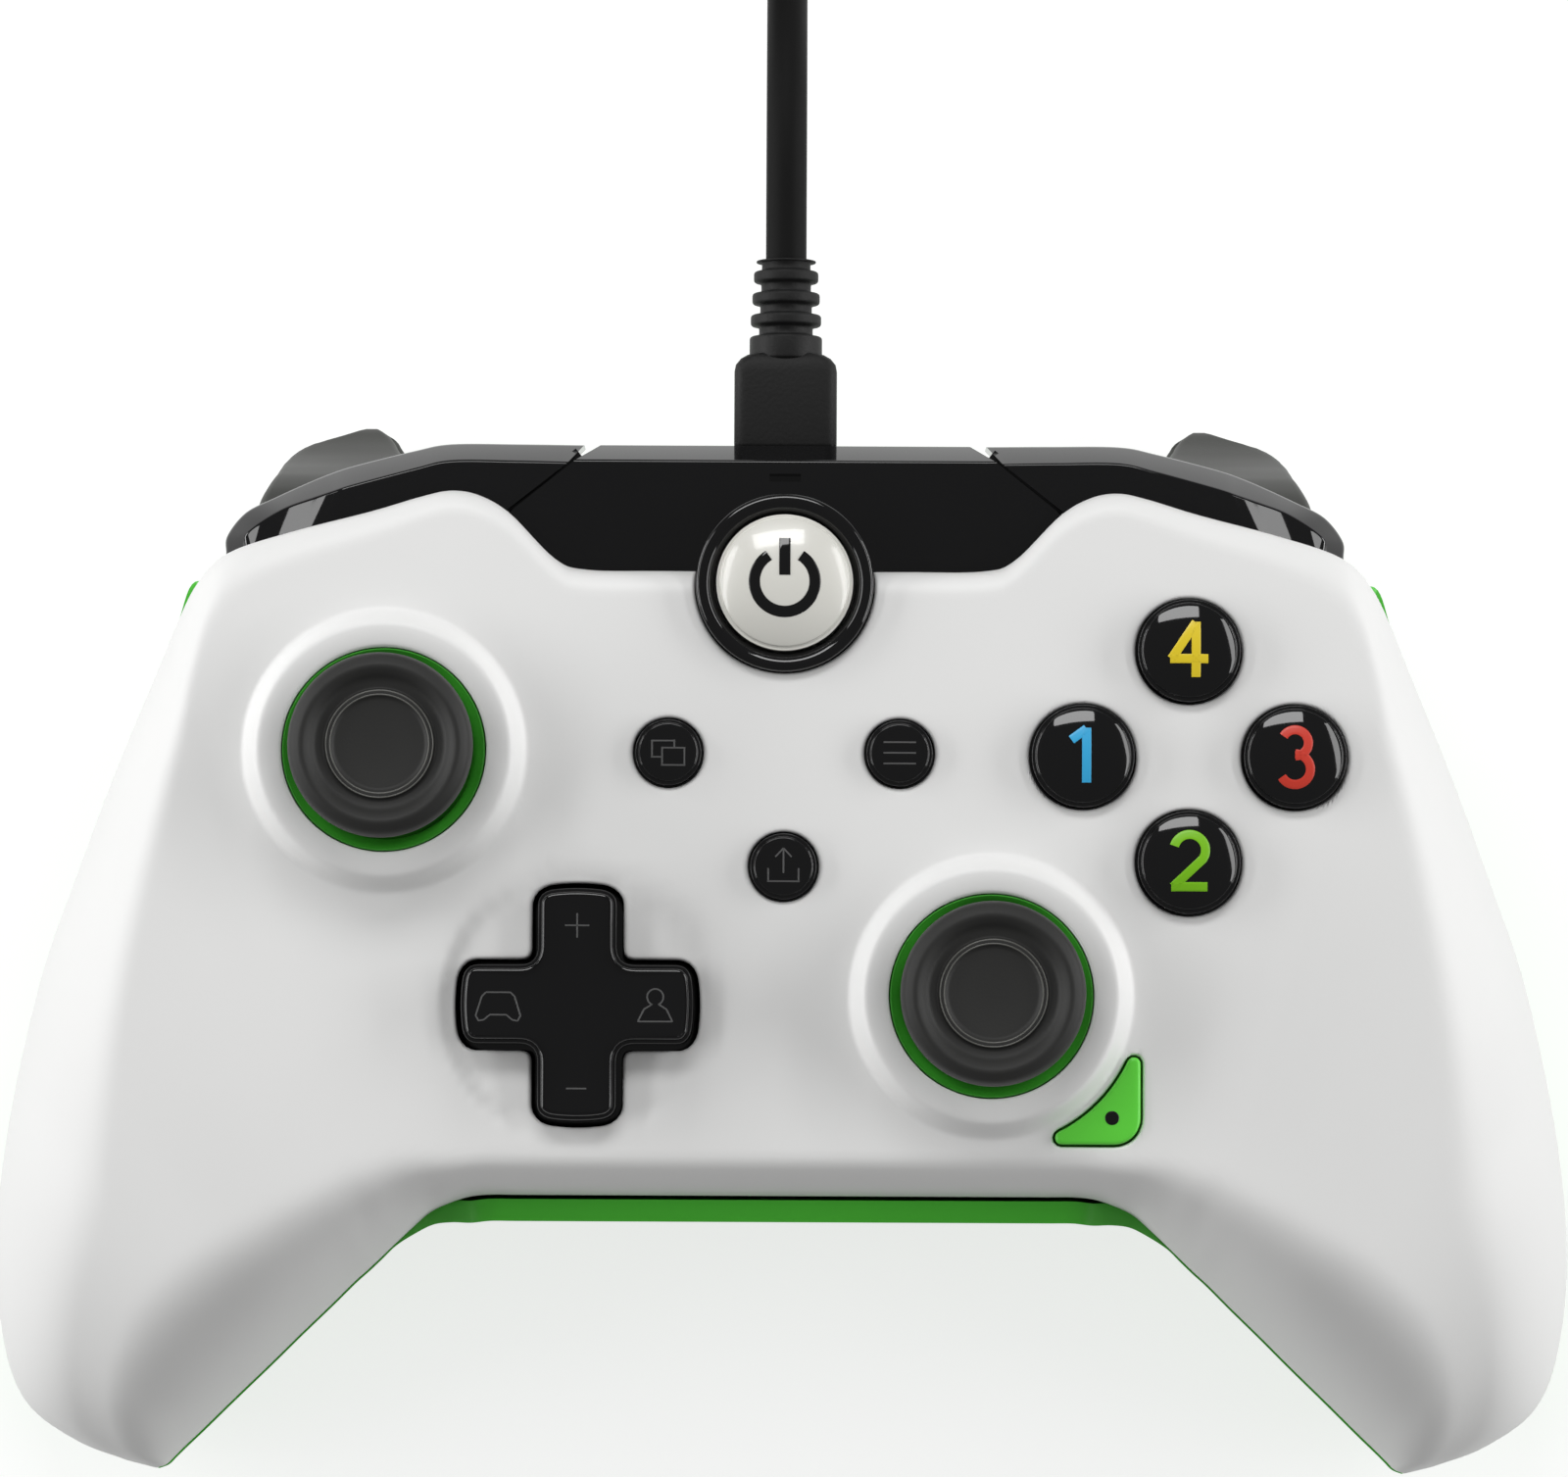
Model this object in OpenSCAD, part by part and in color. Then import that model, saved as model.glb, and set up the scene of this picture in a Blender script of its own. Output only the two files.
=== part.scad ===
// Wired gamepad: two shells, tilting sticks, buttons, bumpers, triggers and a plugged-in cable.
// The part lies on a table: +Z up, +Y towards the cable, origin on the table under its middle.

/* [Shells] */
// Width across the handles
body_w = 159.4; // [154:0.2:166]
// Depth from the handle tips to the shoulders
body_d = 97.3; // [94:0.1:101]
// Height of the flat face above the table
face_h = 43; // [42:0.25:46]
// Wall of both shells
wall = 2.2; // [1.8:0.1:2.6]
// Gap along the seam between the shells
seam_gap = 0.3; // [0.2:0.05:0.5]
// How far the rear shell stands out past the front one
rear_proud = 0.2; // [0:0.05:0.4]
// Ledge of the rear shell that shows under the chin
chin_ledge = 2.6; // [1.5:0.1:3.5]

/* [Sticks] */
// Left stick across from the middle
left_stick_x = -39.4; // [-41:0.1:-38]
// Left stick back from the middle
left_stick_y = 18.1; // [17:0.1:19]
// Right stick across from the middle
right_stick_x = 20.5; // [19.5:0.1:21.5]
// Right stick back from the middle
right_stick_y = -5.9; // [-6.5:0.1:-5]
// Radius of the hole in the face
well_r = 10.1; // [10:0.05:10.4]
// Height of the raised collar round the hole
collar_h = 2; // [1.4:0.1:2.2]
// Radius of the thumb cap
cap_r = 9.05; // [8.4:0.05:9.2]
// Height of the thumb cap's rim above the face
cap_h = 10.4; // [10:0.1:12]
// Radius of the stick shaft
shaft_r = 1.6; // [1.2:0.05:1.8]
// Side of the square stick base
stick_base_w = 15.6; // [15.4:0.1:16.4]

/* [Direction pad] */
// Direction pad across from the middle
dpad_x = -20.2; // [-21:0.1:-19]
// Direction pad back from the middle
dpad_y = -6.9; // [-7.5:0.1:-6]
// Length of the direction pad, tip to tip
dpad_l = 22.8; // [22:0.1:24]
// Width of one arm
dpad_arm = 7.7; // [7.2:0.05:8.6]
// Height of the pad above the face
dpad_h = 3; // [2:0.1:4]

/* [Buttons] */
// Middle of the four face buttons, across
face_buttons_x = 39.9; // [39:0.1:41]
// Middle of the four face buttons, back
face_buttons_y = 17.8; // [17:0.1:18.5]
// From that middle to each face button
face_button_reach = 10.45; // [9.8:0.05:11]
// Radius of a face button
face_button_r = 5.05; // [4.4:0.05:5.3]
// Radius of a small system button
system_button_r = 3.25; // [2.8:0.05:3.6]
// View and menu buttons to each side of the middle
system_button_x = 11.4; // [10.5:0.1:12.5]
// View and menu buttons back from the middle
system_button_y = 18; // [17:0.1:19]
// Share button back from the middle
share_button_y = 6.8; // [6:0.1:8]
// Radius of the guide dome
guide_r = 6.75; // [6:0.05:7.1]
// Width of the guide bezel ring
guide_ring_w = 1.8; // [1.2:0.1:2.2]
// Gap round every button in its hole
button_gap = 0.25; // [0.2:0.05:0.35]
// Right edge of the function button
function_right = 35.2; // [34.6:0.1:36]
// Front edge of the function button
function_front = -20.4; // [-20.8:0.1:-20]

/* [Inside] */
// Space between the face and the main board
board_gap = 14; // [14:0.1:15]
// Thickness of the main board
board_t = 1.6; // [1:0.1:2]
// Radius of a rumble motor
motor_r = 8.5; // [7:0.1:9.5]
// Length of a rumble motor
motor_l = 14; // [11:0.5:16]
// Radius of the trigger pins
trigger_pin_r = 1.5; // [1:0.05:1.8]
// Radius of the headset jack's bore
jack_r = 1.8; // [1.5:0.05:2]
// Radius of a shell screw's shank
screw_r = 1.25; // [1:0.05:1.5]

/* [Cable] */
// Thickness of the cable
cable_d = 4.1; // [3.8:0.1:4.4]
// Width of the plug on the controller
plug_w = 10.3; // [9:0.1:11.5]
// Height of the plug on the controller
plug_h = 7; // [6:0.1:8]

/* [Hidden] */
$fn = 48;
fit = 0.02;
running = 0.05;
seat = 0.3;
past = 5;
through = 100;

// Sizes at which the section table below is drawn, and the stretch to the sizes above
drawn_w = 159.4;
drawn_d = 97.3;
drawn_h = 43;
sx = body_w / drawn_w;
sy = body_d / drawn_d;
sz = face_h / drawn_h;

// Heights
under = face_h - wall;
board_top = under - board_gap;
pivot_z = board_top + 4.6;
usb_h = 3.2;
plug_z = board_top + usb_h / 2;
key_h = 3.3;
key_low = board_top + key_h + seat;

// One section of the body per row, middle to handle tip: where it starts at the back or outer edge
// and ends at the chin or inner edge, each with the height of the front shell's rim, then the crown
// of the front shell and the widths of its two rounded edges
front_rows = [
  [[0, 36.2, 40], [0, -25.5, 33], 43, 2.4, 4],
  [[12, 36.2, 40], [12, -25.5, 33], 43, 2.4, 4],
  [[19.6, 36.3, 40], [19.6, -25.5, 33], 43, 2.4, 4],
  [[22.8, 37.4, 40], [22.5, -25.5, 33], 43, 2.4, 4],
  [[27.2, 41.8, 40], [26.5, -25.5, 33], 43, 2.4, 4],
  [[30.2, 43.6, 40], [29, -25.5, 33], 43, 2.4, 4],
  [[33, 44.1, 40], [31, -25.7, 32.5], 43, 2.4, 4],
  [[36, 43.5, 40], [33, -26.3, 31], 43, 2.6, 4.5],
  [[41, 42, 40], [35, -27.2, 29], 43, 3, 5.5],
  [[49, 39.9, 40], [37, -28.8, 26.8], 43, 3.5, 7],
  [[55.2, 37.9, 38.7], [38.8, -30.4, 25], 43, 4.5, 8],
  [[58.4, 35.2, 35.5], [40.2, -31.7, 23.8], 43, 6, 9],
  [[60.6, 31.5, 32], [41.5, -32.9, 22.8], 42.9, 8, 9.5],
  [[62.5, 27.4, 29.3], [43, -34.2, 21.6], 42.8, 10, 10],
  [[67.1, 17, 25.6], [45.5, -36.6, 19.8], 42.4, 13, 11],
  [[71.3, 6.3, 22.6], [48.6, -39.5, 17.8], 41.4, 15, 12],
  [[74.9, -3.6, 20.2], [51.6, -42.4, 16.2], 39.6, 17, 13],
  [[78.2, -17.5, 17.2], [55.5, -46.1, 14.6], 36, 18, 13],
  [[79.7, -29.9, 15], [58.6, -49.1, 13.6], 31.5, 16, 11],
  [[79.1, -39.8, 13.6], [60.6, -51, 13.1], 27.5, 12, 8],
  [[76.8, -46.4, 13], [61.6, -52, 13], 23.5, 8, 5.5],
  [[71.8, -50.3, 13], [62.4, -52.8, 13], 19.5, 4.5, 3.5],
  [[66.6, -52.4, 13], [63.4, -53.2, 13], 13.6, 1, 1]];

// Back edge of the rear shell for the rows that pass behind the triggers
rear_back = [
  [0, 48.4, 22.4], [10, 48.4, 22.4], [16.5, 48.2, 22.4], [20, 46, 22.4], [21.8, 41, 24], [23.6, 37, 30],
  [27, 34.4, 35], [33, 34.2, 35.6], [41, 34.2, 35.6], [49, 34.2, 35.6], [55, 34.2, 35], [58.8, 35.4, 34.6]];

// Depth of the rear shell in each row, with the widths of its two rounded edges
rear_keel = [
  [-0.4, 9, 9], [-0.4, 9, 9], [-0.4, 8, 9], [-0.4, 7, 9], [-0.2, 6, 9], [0.4, 6, 9], [1, 6, 9], [1.5, 6, 9],
  [2, 6, 10], [2.5, 7, 10], [3, 8, 11], [3.2, 9, 11], [3.4, 10, 11], [3.5, 11, 11], [3.5, 14, 12],
  [2.5, 17, 12], [1, 19, 12], [-0.2, 19, 12], [-0.4, 17, 10], [0.6, 13, 8], [2.8, 9, 5.5], [6, 5, 3.5],
  [12.1, 1, 1]];
last_row = len(front_rows) - 1;
tip_row = 19;
arc_steps = 5;
flat_steps = 4;

// Where things stand
guide_y = 34.8;
function_stem_in = [-3.2, 3.6];
shell_screw_points = [[60.3, 12, 22], [67.3, -36, 13]];
board_screw_points = [[50.5, 4.6], [10, -18]];
usb_set_in = 2.4;
function on_face(x, y) = [x * sx, y * sy];
left_stick = on_face(left_stick_x, left_stick_y);
right_stick = on_face(right_stick_x, right_stick_y);
dpad_at = on_face(dpad_x, dpad_y);
top_button_at = on_face(face_buttons_x, face_buttons_y + face_button_reach);
left_button_at = on_face(face_buttons_x - face_button_reach, face_buttons_y);
right_button_at = on_face(face_buttons_x + face_button_reach, face_buttons_y);
bottom_button_at = on_face(face_buttons_x, face_buttons_y - face_button_reach);
view_at = on_face(-system_button_x, system_button_y);
menu_at = on_face(system_button_x, system_button_y);
share_at = on_face(0, share_button_y);
guide_at = on_face(0, guide_y);
function_at = on_face(function_right, function_front);
function_stem_at = function_at + function_stem_in;
shell_screws_at = [for (s = [-1, 1], p = shell_screw_points) [s * p.x * sx, p.y * sy, p.z * sz]];
board_screws_at = [for (s = [-1, 1], p = board_screw_points) on_face(s * p.x, p.y)];
motor_at = [64 * sx, -19 * sy, 17 * sz];
bridge_back = 49.3 * sy;
usb_y = bridge_back - usb_set_in;

// Vectors
function unit(v) = v / norm(v);
function stretched(p) = [p.x * sx, p.y * sy, p.z * sz];
function inward(a, b) = unit([b.x - a.x, b.y - a.y]);
function moved(p, u, s) = [p.x + u.x * s, p.y + u.y * s, p.z];
function at(a, u, s, z) = [a.x + u.x * s, a.y + u.y * s, z];

// One section from edge a to edge b: a rounded run to height top, a flat run, a rounded run back
function section(a, b, top, ra, rb) =
  let (u = inward(a, b),
       run = norm([b.x - a.x, b.y - a.y]),
       ka = min(ra, run * 0.45),
       kb = min(rb, run * 0.45),
       arc = [for (k = [0 : arc_steps]) 90 * k / arc_steps])
  concat(
    [for (q = arc) at(a, u, ka * (1 - cos(q)), a.z + (top - a.z) * sin(q))],
    [for (k = [1 : flat_steps - 1]) at(a, u, ka + (run - ka - kb) * k / flat_steps, top)],
    [for (k = [arc_steps : -1 : 0]) at(a, u, run - kb * (1 - cos(arc[k])), b.z + (top - b.z) * sin(arc[k]))]);

// Edges and heights of the two shells, row by row
front_a = [for (r = front_rows) stretched(r[0])];
front_b = [for (r = front_rows) stretched(r[1])];
front_top = [for (r = front_rows) r[2] * sz];
front_ra = [for (r = front_rows) r[3]];
front_rb = [for (r = front_rows) r[4]];
drop = [0, 0, seam_gap];
function ledge(i) = max(rear_proud, chin_ledge * min(1, (10 - i) / 4));
rear_a = [for (i = [0 : last_row])
  i < len(rear_back) ? stretched(rear_back[i])
    : moved(front_a[i], inward(front_a[i], front_b[i]), -rear_proud) - drop];
rear_b = [for (i = [0 : last_row]) moved(front_b[i], inward(front_a[i], front_b[i]), ledge(i)) - drop];
rear_low = [for (k = rear_keel) k[0] * sz];
rear_ra = [for (k = rear_keel) k[1]];
rear_rb = [for (k = rear_keel) k[2]];

// Inner edges are set in towards the middle of their row, or of the tip row in the rounded handle end
function set_in(a, b, i, inset) =
  let (j = min(i, tip_row), m = (a[j] + b[j]) / 2)
  [moved(a[i], inward(a[i], m), inset), moved(b[i], inward(b[i], m), inset)];
function front_outer(i) = section(front_a[i], front_b[i], front_top[i], front_ra[i], front_rb[i]);
function front_inset(i, inset) =
  let (e = set_in(front_a, front_b, i, inset))
  section(e[0], e[1], i == last_row ? e[0].z : front_top[i] - inset,
    max(0.6, front_ra[i] - inset / 2), max(0.6, front_rb[i] - inset / 2));
function rear_outer(i) = section(rear_a[i], rear_b[i], rear_low[i], rear_ra[i], rear_rb[i]);
function rear_inset(i, inset) =
  let (e = set_in(rear_a, [for (b = front_b) b - drop], i, inset))
  section(e[0], e[1], i == last_row ? e[0].z : rear_low[i] + inset,
    max(0.6, rear_ra[i] - inset / 2), max(0.6, rear_rb[i] - inset / 2));

// Sections from the left handle tip to the right one
function flipped(points) = [for (p = points) [-p.x, p.y, p.z]];
function both_sides(half) = concat([for (i = [len(half) - 1 : -1 : 1]) flipped(half[i])], half);

// Walled sheet between an outer and an inner grid of points, facing up, or down if turned
module sheet(outer, inner, turned) {
  rows = len(outer);
  cols = len(outer[0]);
  o = [for (k = [0 : rows - 1]) [for (j = [0 : cols - 1]) k * cols + j]];
  n = [for (k = [0 : rows - 1]) [for (j = [0 : cols - 1]) rows * cols + k * cols + j]];
  quads = concat(
    [for (k = [0 : rows - 2], j = [0 : cols - 2]) [o[k][j], o[k + 1][j], o[k + 1][j + 1], o[k][j + 1]]],
    [for (k = [0 : rows - 2], j = [0 : cols - 2]) [n[k][j], n[k][j + 1], n[k + 1][j + 1], n[k + 1][j]]],
    [for (k = [0 : rows - 2]) [o[k + 1][0], o[k][0], n[k][0], n[k + 1][0]]],
    [for (k = [0 : rows - 2]) [o[k][cols - 1], o[k + 1][cols - 1], n[k + 1][cols - 1], n[k][cols - 1]]],
    [for (j = [0 : cols - 2]) [o[0][j], o[0][j + 1], n[0][j + 1], n[0][j]]],
    [for (j = [0 : cols - 2]) [o[rows - 1][j + 1], o[rows - 1][j], n[rows - 1][j], n[rows - 1][j + 1]]]);
  triangles = [for (q = quads) each [[q[0], q[1], q[2]], [q[0], q[2], q[3]]]];
  polyhedron(
    points = concat([for (r = outer) each r], [for (r = inner) each r]),
    faces = turned ? [for (t = triangles) [t[2], t[1], t[0]]] : triangles);
}

// Solid through closed sections that run clockwise seen from the last one
module loft(sections) {
  n = len(sections[0]);
  last = len(sections) - 1;
  sides = [for (k = [0 : last - 1], j = [0 : n - 1])
    let (m = (j + 1) % n)
    each [[k * n + j, k * n + m, (k + 1) * n + m], [k * n + j, (k + 1) * n + m, (k + 1) * n + j]]];
  caps = [for (j = [1 : n - 2]) each [[0, j + 1, j], [last * n, last * n + j, last * n + j + 1]]];
  polyhedron(points = [for (s = sections) each s], faces = concat(sides, caps));
}

// Space inside the middle of a shell's wall, open-ended away from it, that trims posts to the shell
module front_room() {
  far = -10;
  half = [for (i = [0 : last_row - 1])
    let (s = front_inset(i, wall / 2), e = s[len(s) - 1])
    concat([for (j = [len(s) - 1 : -1 : 0]) s[j]], [[s[0].x, s[0].y, far], [e.x, e.y, far]])];
  loft(both_sides(half));
}
module rear_room() {
  far = 60;
  half = [for (i = [0 : last_row - 1])
    let (s = rear_inset(i, wall / 2), e = s[len(s) - 1])
    concat(s, [[e.x, e.y, far], [s[0].x, s[0].y, far]])];
  loft(both_sides(half));
}

// Outline of the function button, grown by a gap
function_arc_r = 14.85;
function_corner_r = 2.6;
function_tip_r = 0.65;
function_side = 14;
function_h = 0.4;
function_stem_r = 1.6;
function_travel = 0.6;
module function_outline(grow) {
  offset(r = function_tip_r + grow, $fn = 24) offset(delta = -function_tip_r) difference() {
    translate(function_at - [function_side, 0])
      offset(r = function_corner_r, $fn = 24) offset(delta = -function_corner_r)
        square(function_side);
    translate(right_stick) circle(r = function_arc_r);
  }
}

// Cross with rounded ends and filleted inner corners
module cross(length, arm, grow) {
  ends = 1.5;
  corners = 1.6;
  offset(r = ends + grow, $fn = 24) offset(delta = -ends)
    offset(r = -corners, $fn = 24) offset(delta = corners)
      for (size = [[length, arm], [arm, length]]) square(size, center = true);
}

// Front shell
collar_foot_r = well_r + 4;
boss_r = 3.2;
module collar() {
  rotate_extrude() polygon([
    [well_r - 0.5, -wall / 2], [well_r - 0.5, collar_h * 0.75], [well_r, collar_h * 0.78],
    [well_r + 1.3, collar_h * 0.96], [well_r + 2.2, collar_h], [well_r + 2.7, collar_h * 0.92],
    [well_r + 3.1, collar_h * 0.68], [well_r + 3.5, collar_h * 0.34], [collar_foot_r, 0],
    [collar_foot_r, -wall / 2]]);
}
module drill(p, r, low, high) {
  translate([p.x, p.y, low]) cylinder(r = r, h = high - low);
}
module face_holes() {
  low = under - 4;
  high = face_h + 6;
  for (p = [left_stick, right_stick]) drill(p, well_r, low, high);
  for (p = [top_button_at, left_button_at, right_button_at, bottom_button_at])
    drill(p, face_button_r + button_gap, low, high);
  for (p = [view_at, menu_at, share_at]) drill(p, system_button_r + button_gap, low, high);
  drill(guide_at, guide_outer_r + fit * 5, low, high);
  translate([dpad_at.x, dpad_at.y, low]) linear_extrude(high - low) cross(dpad_l, dpad_arm, dpad_gap);
  translate([0, 0, low]) linear_extrude(high - low) function_outline(button_gap);
}
module front_shell() {
  color("whitesmoke") difference() {
    union() {
      sheet(both_sides([for (i = [0 : last_row]) front_outer(i)]),
        both_sides([for (i = [0 : last_row]) front_inset(i, wall)]), false);
      for (p = [left_stick, right_stick]) translate([p.x, p.y, face_h]) collar();
      intersection() {
        front_room();
        for (p = shell_screws_at) drill(p, boss_r, p.z + seam_gap / 2, face_h);
      }
    }
    face_holes();
    for (p = shell_screws_at) drill(p, screw_r + fit, p.z - 1, p.z + screw_bite);
  }
}
guide_outer_r = guide_r + button_gap + guide_ring_w;
dpad_gap = 0.65;
screw_bite = 7;
screw_head_r = 2.5;
screw_head_h = 1.8;
screw_seat = 6;

// Rear shell
post_r = 2.6;
board_screw_r = 1.1;
board_screw_bite = 5;
board_head_r = 2.2;
board_head_h = 1.2;
screw_short = 0.5;
jack_nose_r = 3.1;
jack_hole_in = 8;
jack_z = board_top - board_t - 3.3;
chin_y = rear_b[0].y;
module rear_shell() {
  color("limegreen") difference() {
    union() {
      sheet(both_sides([for (i = [0 : last_row]) rear_outer(i)]),
        both_sides([for (i = [0 : last_row]) rear_inset(i, wall)]), true);
      intersection() {
        rear_room();
        union() {
          for (p = shell_screws_at) drill(p, boss_r, 0, p.z - seam_gap / 2);
          for (p = board_screws_at) drill(p, post_r, 0, board_top - board_t);
          for (s = [-1, 1]) translate([s * motor_at.x, motor_at.y, 0]) motor_cradle();
        }
      }
    }
    translate([-body_w, -body_d, -past]) cube([2 * body_w, 2 * body_d, past]);
    for (p = shell_screws_at) drill(p, screw_head_r + button_gap, -1, screw_seat);
    for (p = shell_screws_at) drill(p, screw_r + button_gap, -1, p.z + 1);
    for (p = board_screws_at)
      drill(p, board_screw_r + fit, board_top - board_t - board_screw_bite, board_top);
    translate([0, chin_y + jack_hole_in, jack_z]) rotate([90, 0, 0])
      cylinder(r = jack_nose_r + button_gap, h = jack_hole_in + past);
  }
}
module motor_cradle() {
  difference() {
    translate([-motor_r * 0.7, -motor_l * 0.35, 0])
      cube([motor_r * 1.4, motor_l * 0.7, motor_at.z - motor_r * 0.5]);
    translate([0, motor_l, motor_at.z]) rotate([90, 0, 0]) cylinder(r = motor_r + running, h = 2 * motor_l);
  }
}

// Screws
module screw(shank_r, shank_l, head_r, head_h) {
  union() {
    cylinder(r = shank_r, h = shank_l);
    translate([0, 0, -head_h]) cylinder(r = head_r, h = head_h);
  }
}
module shell_screws() {
  color("dimgray") for (p = shell_screws_at)
    translate([p.x, p.y, screw_seat])
      screw(screw_r, p.z + screw_bite - screw_short - screw_seat, screw_head_r, screw_head_h);
}
module board_screws() {
  color("dimgray") for (p = board_screws_at)
    translate([p.x, p.y, board_top]) rotate([180, 0, 0])
      screw(board_screw_r, board_t + board_screw_bite - screw_short, board_head_r, board_head_h);
}

// Black bridge behind the notch, with the guide button and the cable's opening
bridge_top = face_h - 3.7;
bridge_wall = 2;
bridge_bevel = [1.95, 4.8];
bridge_low = rear_a[0].z + seam_gap * 2;
bridge_front = 32.5 * sy;
bridge_half = [[18.3, 50], [18.4, 49.3], [21.5, 46.85], [27.55, 42], [26.6, 41], [25.6, 38.5], [25.6, 30]];
light_w = 3.1;
light_d = 0.8;
light_y = 45.25 * sy;
light_deep = 1.6;
module bridge_profile() {
  z = bridge_top;
  y = bridge_back;
  polygon([[bridge_front, z], [y - bridge_bevel.x, z - 0.4], [y, z - bridge_bevel.y], [y, bridge_low],
    [y - bridge_wall, bridge_low], [y - bridge_wall, z - bridge_bevel.y - 0.4],
    [y - bridge_bevel.x - 1.4, z - 0.5 - bridge_wall], [bridge_front, z - bridge_wall - 0.1]]);
}
module top_bridge() {
  right = [for (p = bridge_half) on_face(p.x, p.y)];
  left = [for (i = [len(right) - 1 : -1 : 0]) [-right[i].x, right[i].y]];
  color("#151515") difference() {
    intersection() {
      rotate([90, 0, 90]) translate([0, 0, -through / 2]) linear_extrude(through) bridge_profile();
      linear_extrude(through) polygon(concat(right, left));
    }
    drill(guide_at, guide_outer_r + fit * 5, 0, through);
    translate([-usb_w / 2 - seat, bridge_back - 4, plug_z - usb_h / 2 - seat])
      cube([usb_w + 2 * seat, 8, usb_h + 2 * seat]);
    translate([-light_w / 2, light_y, bridge_top - light_deep]) cube([light_w, light_d, past]);
  }
}
usb_w = 8;

// Guide button in its bezel
guide_flange = 1;
guide_edge = 0.9;
guide_rise = 1.8;
guide_stem_r = 2.6;
bezel_low = under - 3.4;
module guide_bezel() {
  r = guide_outer_r;
  bore = guide_r + button_gap;
  color("#101010") translate([guide_at.x, guide_at.y, 0]) rotate_extrude() polygon([
    [bore, bezel_low], [r, bezel_low], [r, face_h + 0.5], [r - 0.3, face_h + 1], [r - 0.8, face_h + 1.2],
    [bore + 0.3, face_h + 0.9], [bore, face_h + 0.4]]);
}
// Button of revolution: stem, flange under the face, straight side and domed top
function dome(r, edge, rise, steps) =
  [for (k = [0 : steps]) let (q = k / steps) [r * (1 - q), edge + rise * (1 - pow(1 - q, 2))]];
module round_button(r, flange_r, flange_top, edge, rise, stem_r, low) {
  soft = 0.4;
  flange_t = 1.2;
  rotate_extrude() polygon(concat(
    [[0, low], [stem_r, low], [stem_r, flange_top - flange_t], [flange_r, flange_top - flange_t],
      [flange_r, flange_top], [r, flange_top], [r, edge - soft]],
    dome(r - soft / 2, edge, rise, 6)));
}
module guide_button() {
  color("ivory") translate([guide_at.x, guide_at.y, 0])
    round_button(guide_r, guide_r + guide_flange, bezel_low - seat, face_h + guide_edge, guide_rise,
      guide_stem_r, key_low);
}

// Bumpers: a bevelled top plate and a back wall that pivot on the trigger frame.
// Each station has plan points on the back edge, the bevel line and the front edge, then the heights
// of the front edge, the back edge and the foot of the back wall
bumper_rows = [
  [[20.05, 49.3], [21.6, 47.1], [27.6, 42.3], -3.7, -8.5, -13.5],
  [[26.5, 49.36], [27.2, 47.2], [30, 40.5], -3.7, -8.5, -13.5],
  [[33.3, 49.34], [33.2, 47.2], [34.5, 40], -3.7, -8.5, -13],
  [[37, 48.65], [36.8, 46.4], [38, 39.2], -3.7, -8.5, -12.6],
  [[44.7, 46.65], [44.4, 44.28], [45, 37.5], -3.8, -8.7, -12.3],
  [[49.6, 44.6], [48.7, 42.95], [49, 36.6], -4.5, -9, -11.5],
  [[52.7, 43.03], [51, 42.05], [51.5, 36], -5.5, -9.2, -10.8],
  [[54.9, 41.85], [52.9, 40.5], [52.8, 35.8], -6.3, -9.3, -10.5],
  [[55.75, 40.1], [53.75, 39.9], [53.3, 35.8], -6.8, -9.3, -10.5],
  [[55.85, 38.3], [53.9, 38.6], [53.6, 35.8], -7.1, -9.3, -10.5]];
bumper_pin_at = [29.8 * sx, 40.4 * sy];
bumper_pin_r = 1.2;
bumper_lug_r = 2.5;
bumper_plate = 2;
bumper_bevel = 4.4;
frame_top = face_h - 9.4;
function bumper_section(r) =
  let (back = [r[0].x * sx, r[0].y * sy],
       line = [r[1].x * sx, r[1].y * sy],
       front = [r[2].x * sx, r[2].y * sy],
       u = unit(front - back),
       in_back = back + u * bumper_plate,
       in_line = line + u * bumper_plate * 0.5,
       top = face_h + r[3],
       edge = face_h + r[4],
       foot = face_h + r[5],
       line_z = min(edge + bumper_bevel, top - 0.4))
  [[front.x, front.y, top], [line.x, line.y, line_z], [back.x, back.y, edge], [back.x, back.y, foot],
    [in_back.x, in_back.y, foot], [in_line.x, in_line.y, line_z - bumper_plate * 1.2],
    [front.x, front.y, top - bumper_plate]];
module right_bumper_solid() {
  lug_top = face_h - 4.4;
  web = [4, 5, 1.2];
  difference() {
    union() {
      loft([for (r = bumper_rows) bumper_section(r)]);
      drill(bumper_pin_at, bumper_lug_r, frame_top + seat, lug_top);
      translate([bumper_pin_at.x - 1, bumper_pin_at.y - 1, lug_top - web.z]) cube(web);
    }
    drill(bumper_pin_at, bumper_pin_r + running, frame_top - 1, lug_top - 0.8);
  }
}
module right_bumper() {
  color("#1a1a1a") right_bumper_solid();
}
module left_bumper() {
  color("#1a1a1a") mirror([1, 0, 0]) right_bumper_solid();
}

// Triggers: a curved paw on a pin, cut to its outline seen from above
trigger_pivot = [38.2 * sy, face_h - 14];
trigger_in = 36 * sx;
trigger_out = 53.2 * sx;
hub_r = 2.8;
module trigger_profile() {
  y = trigger_pivot.x;
  z = trigger_pivot.y;
  polygon([for (p = [
    [-2.6, 1.2], [-1.2, 2.5], [0, 2.8], [2, 1.6], [4.6, -1], [7.2, -3], [9, -6], [10.2, -10],
    [11.2, -14], [12.4, -17.6], [14, -20.6], [15.5, -22.6], [15.75, -23.6], [14.7, -24.2], [12.4, -23.8],
    [9.8, -21.4], [7.8, -17.5], [6.4, -13], [4.8, -8.5], [2.3, -5.2], [-1.2, -3.2], [-2.6, -1.6]])
    [y + p.x, z + p.y]]);
}
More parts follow.
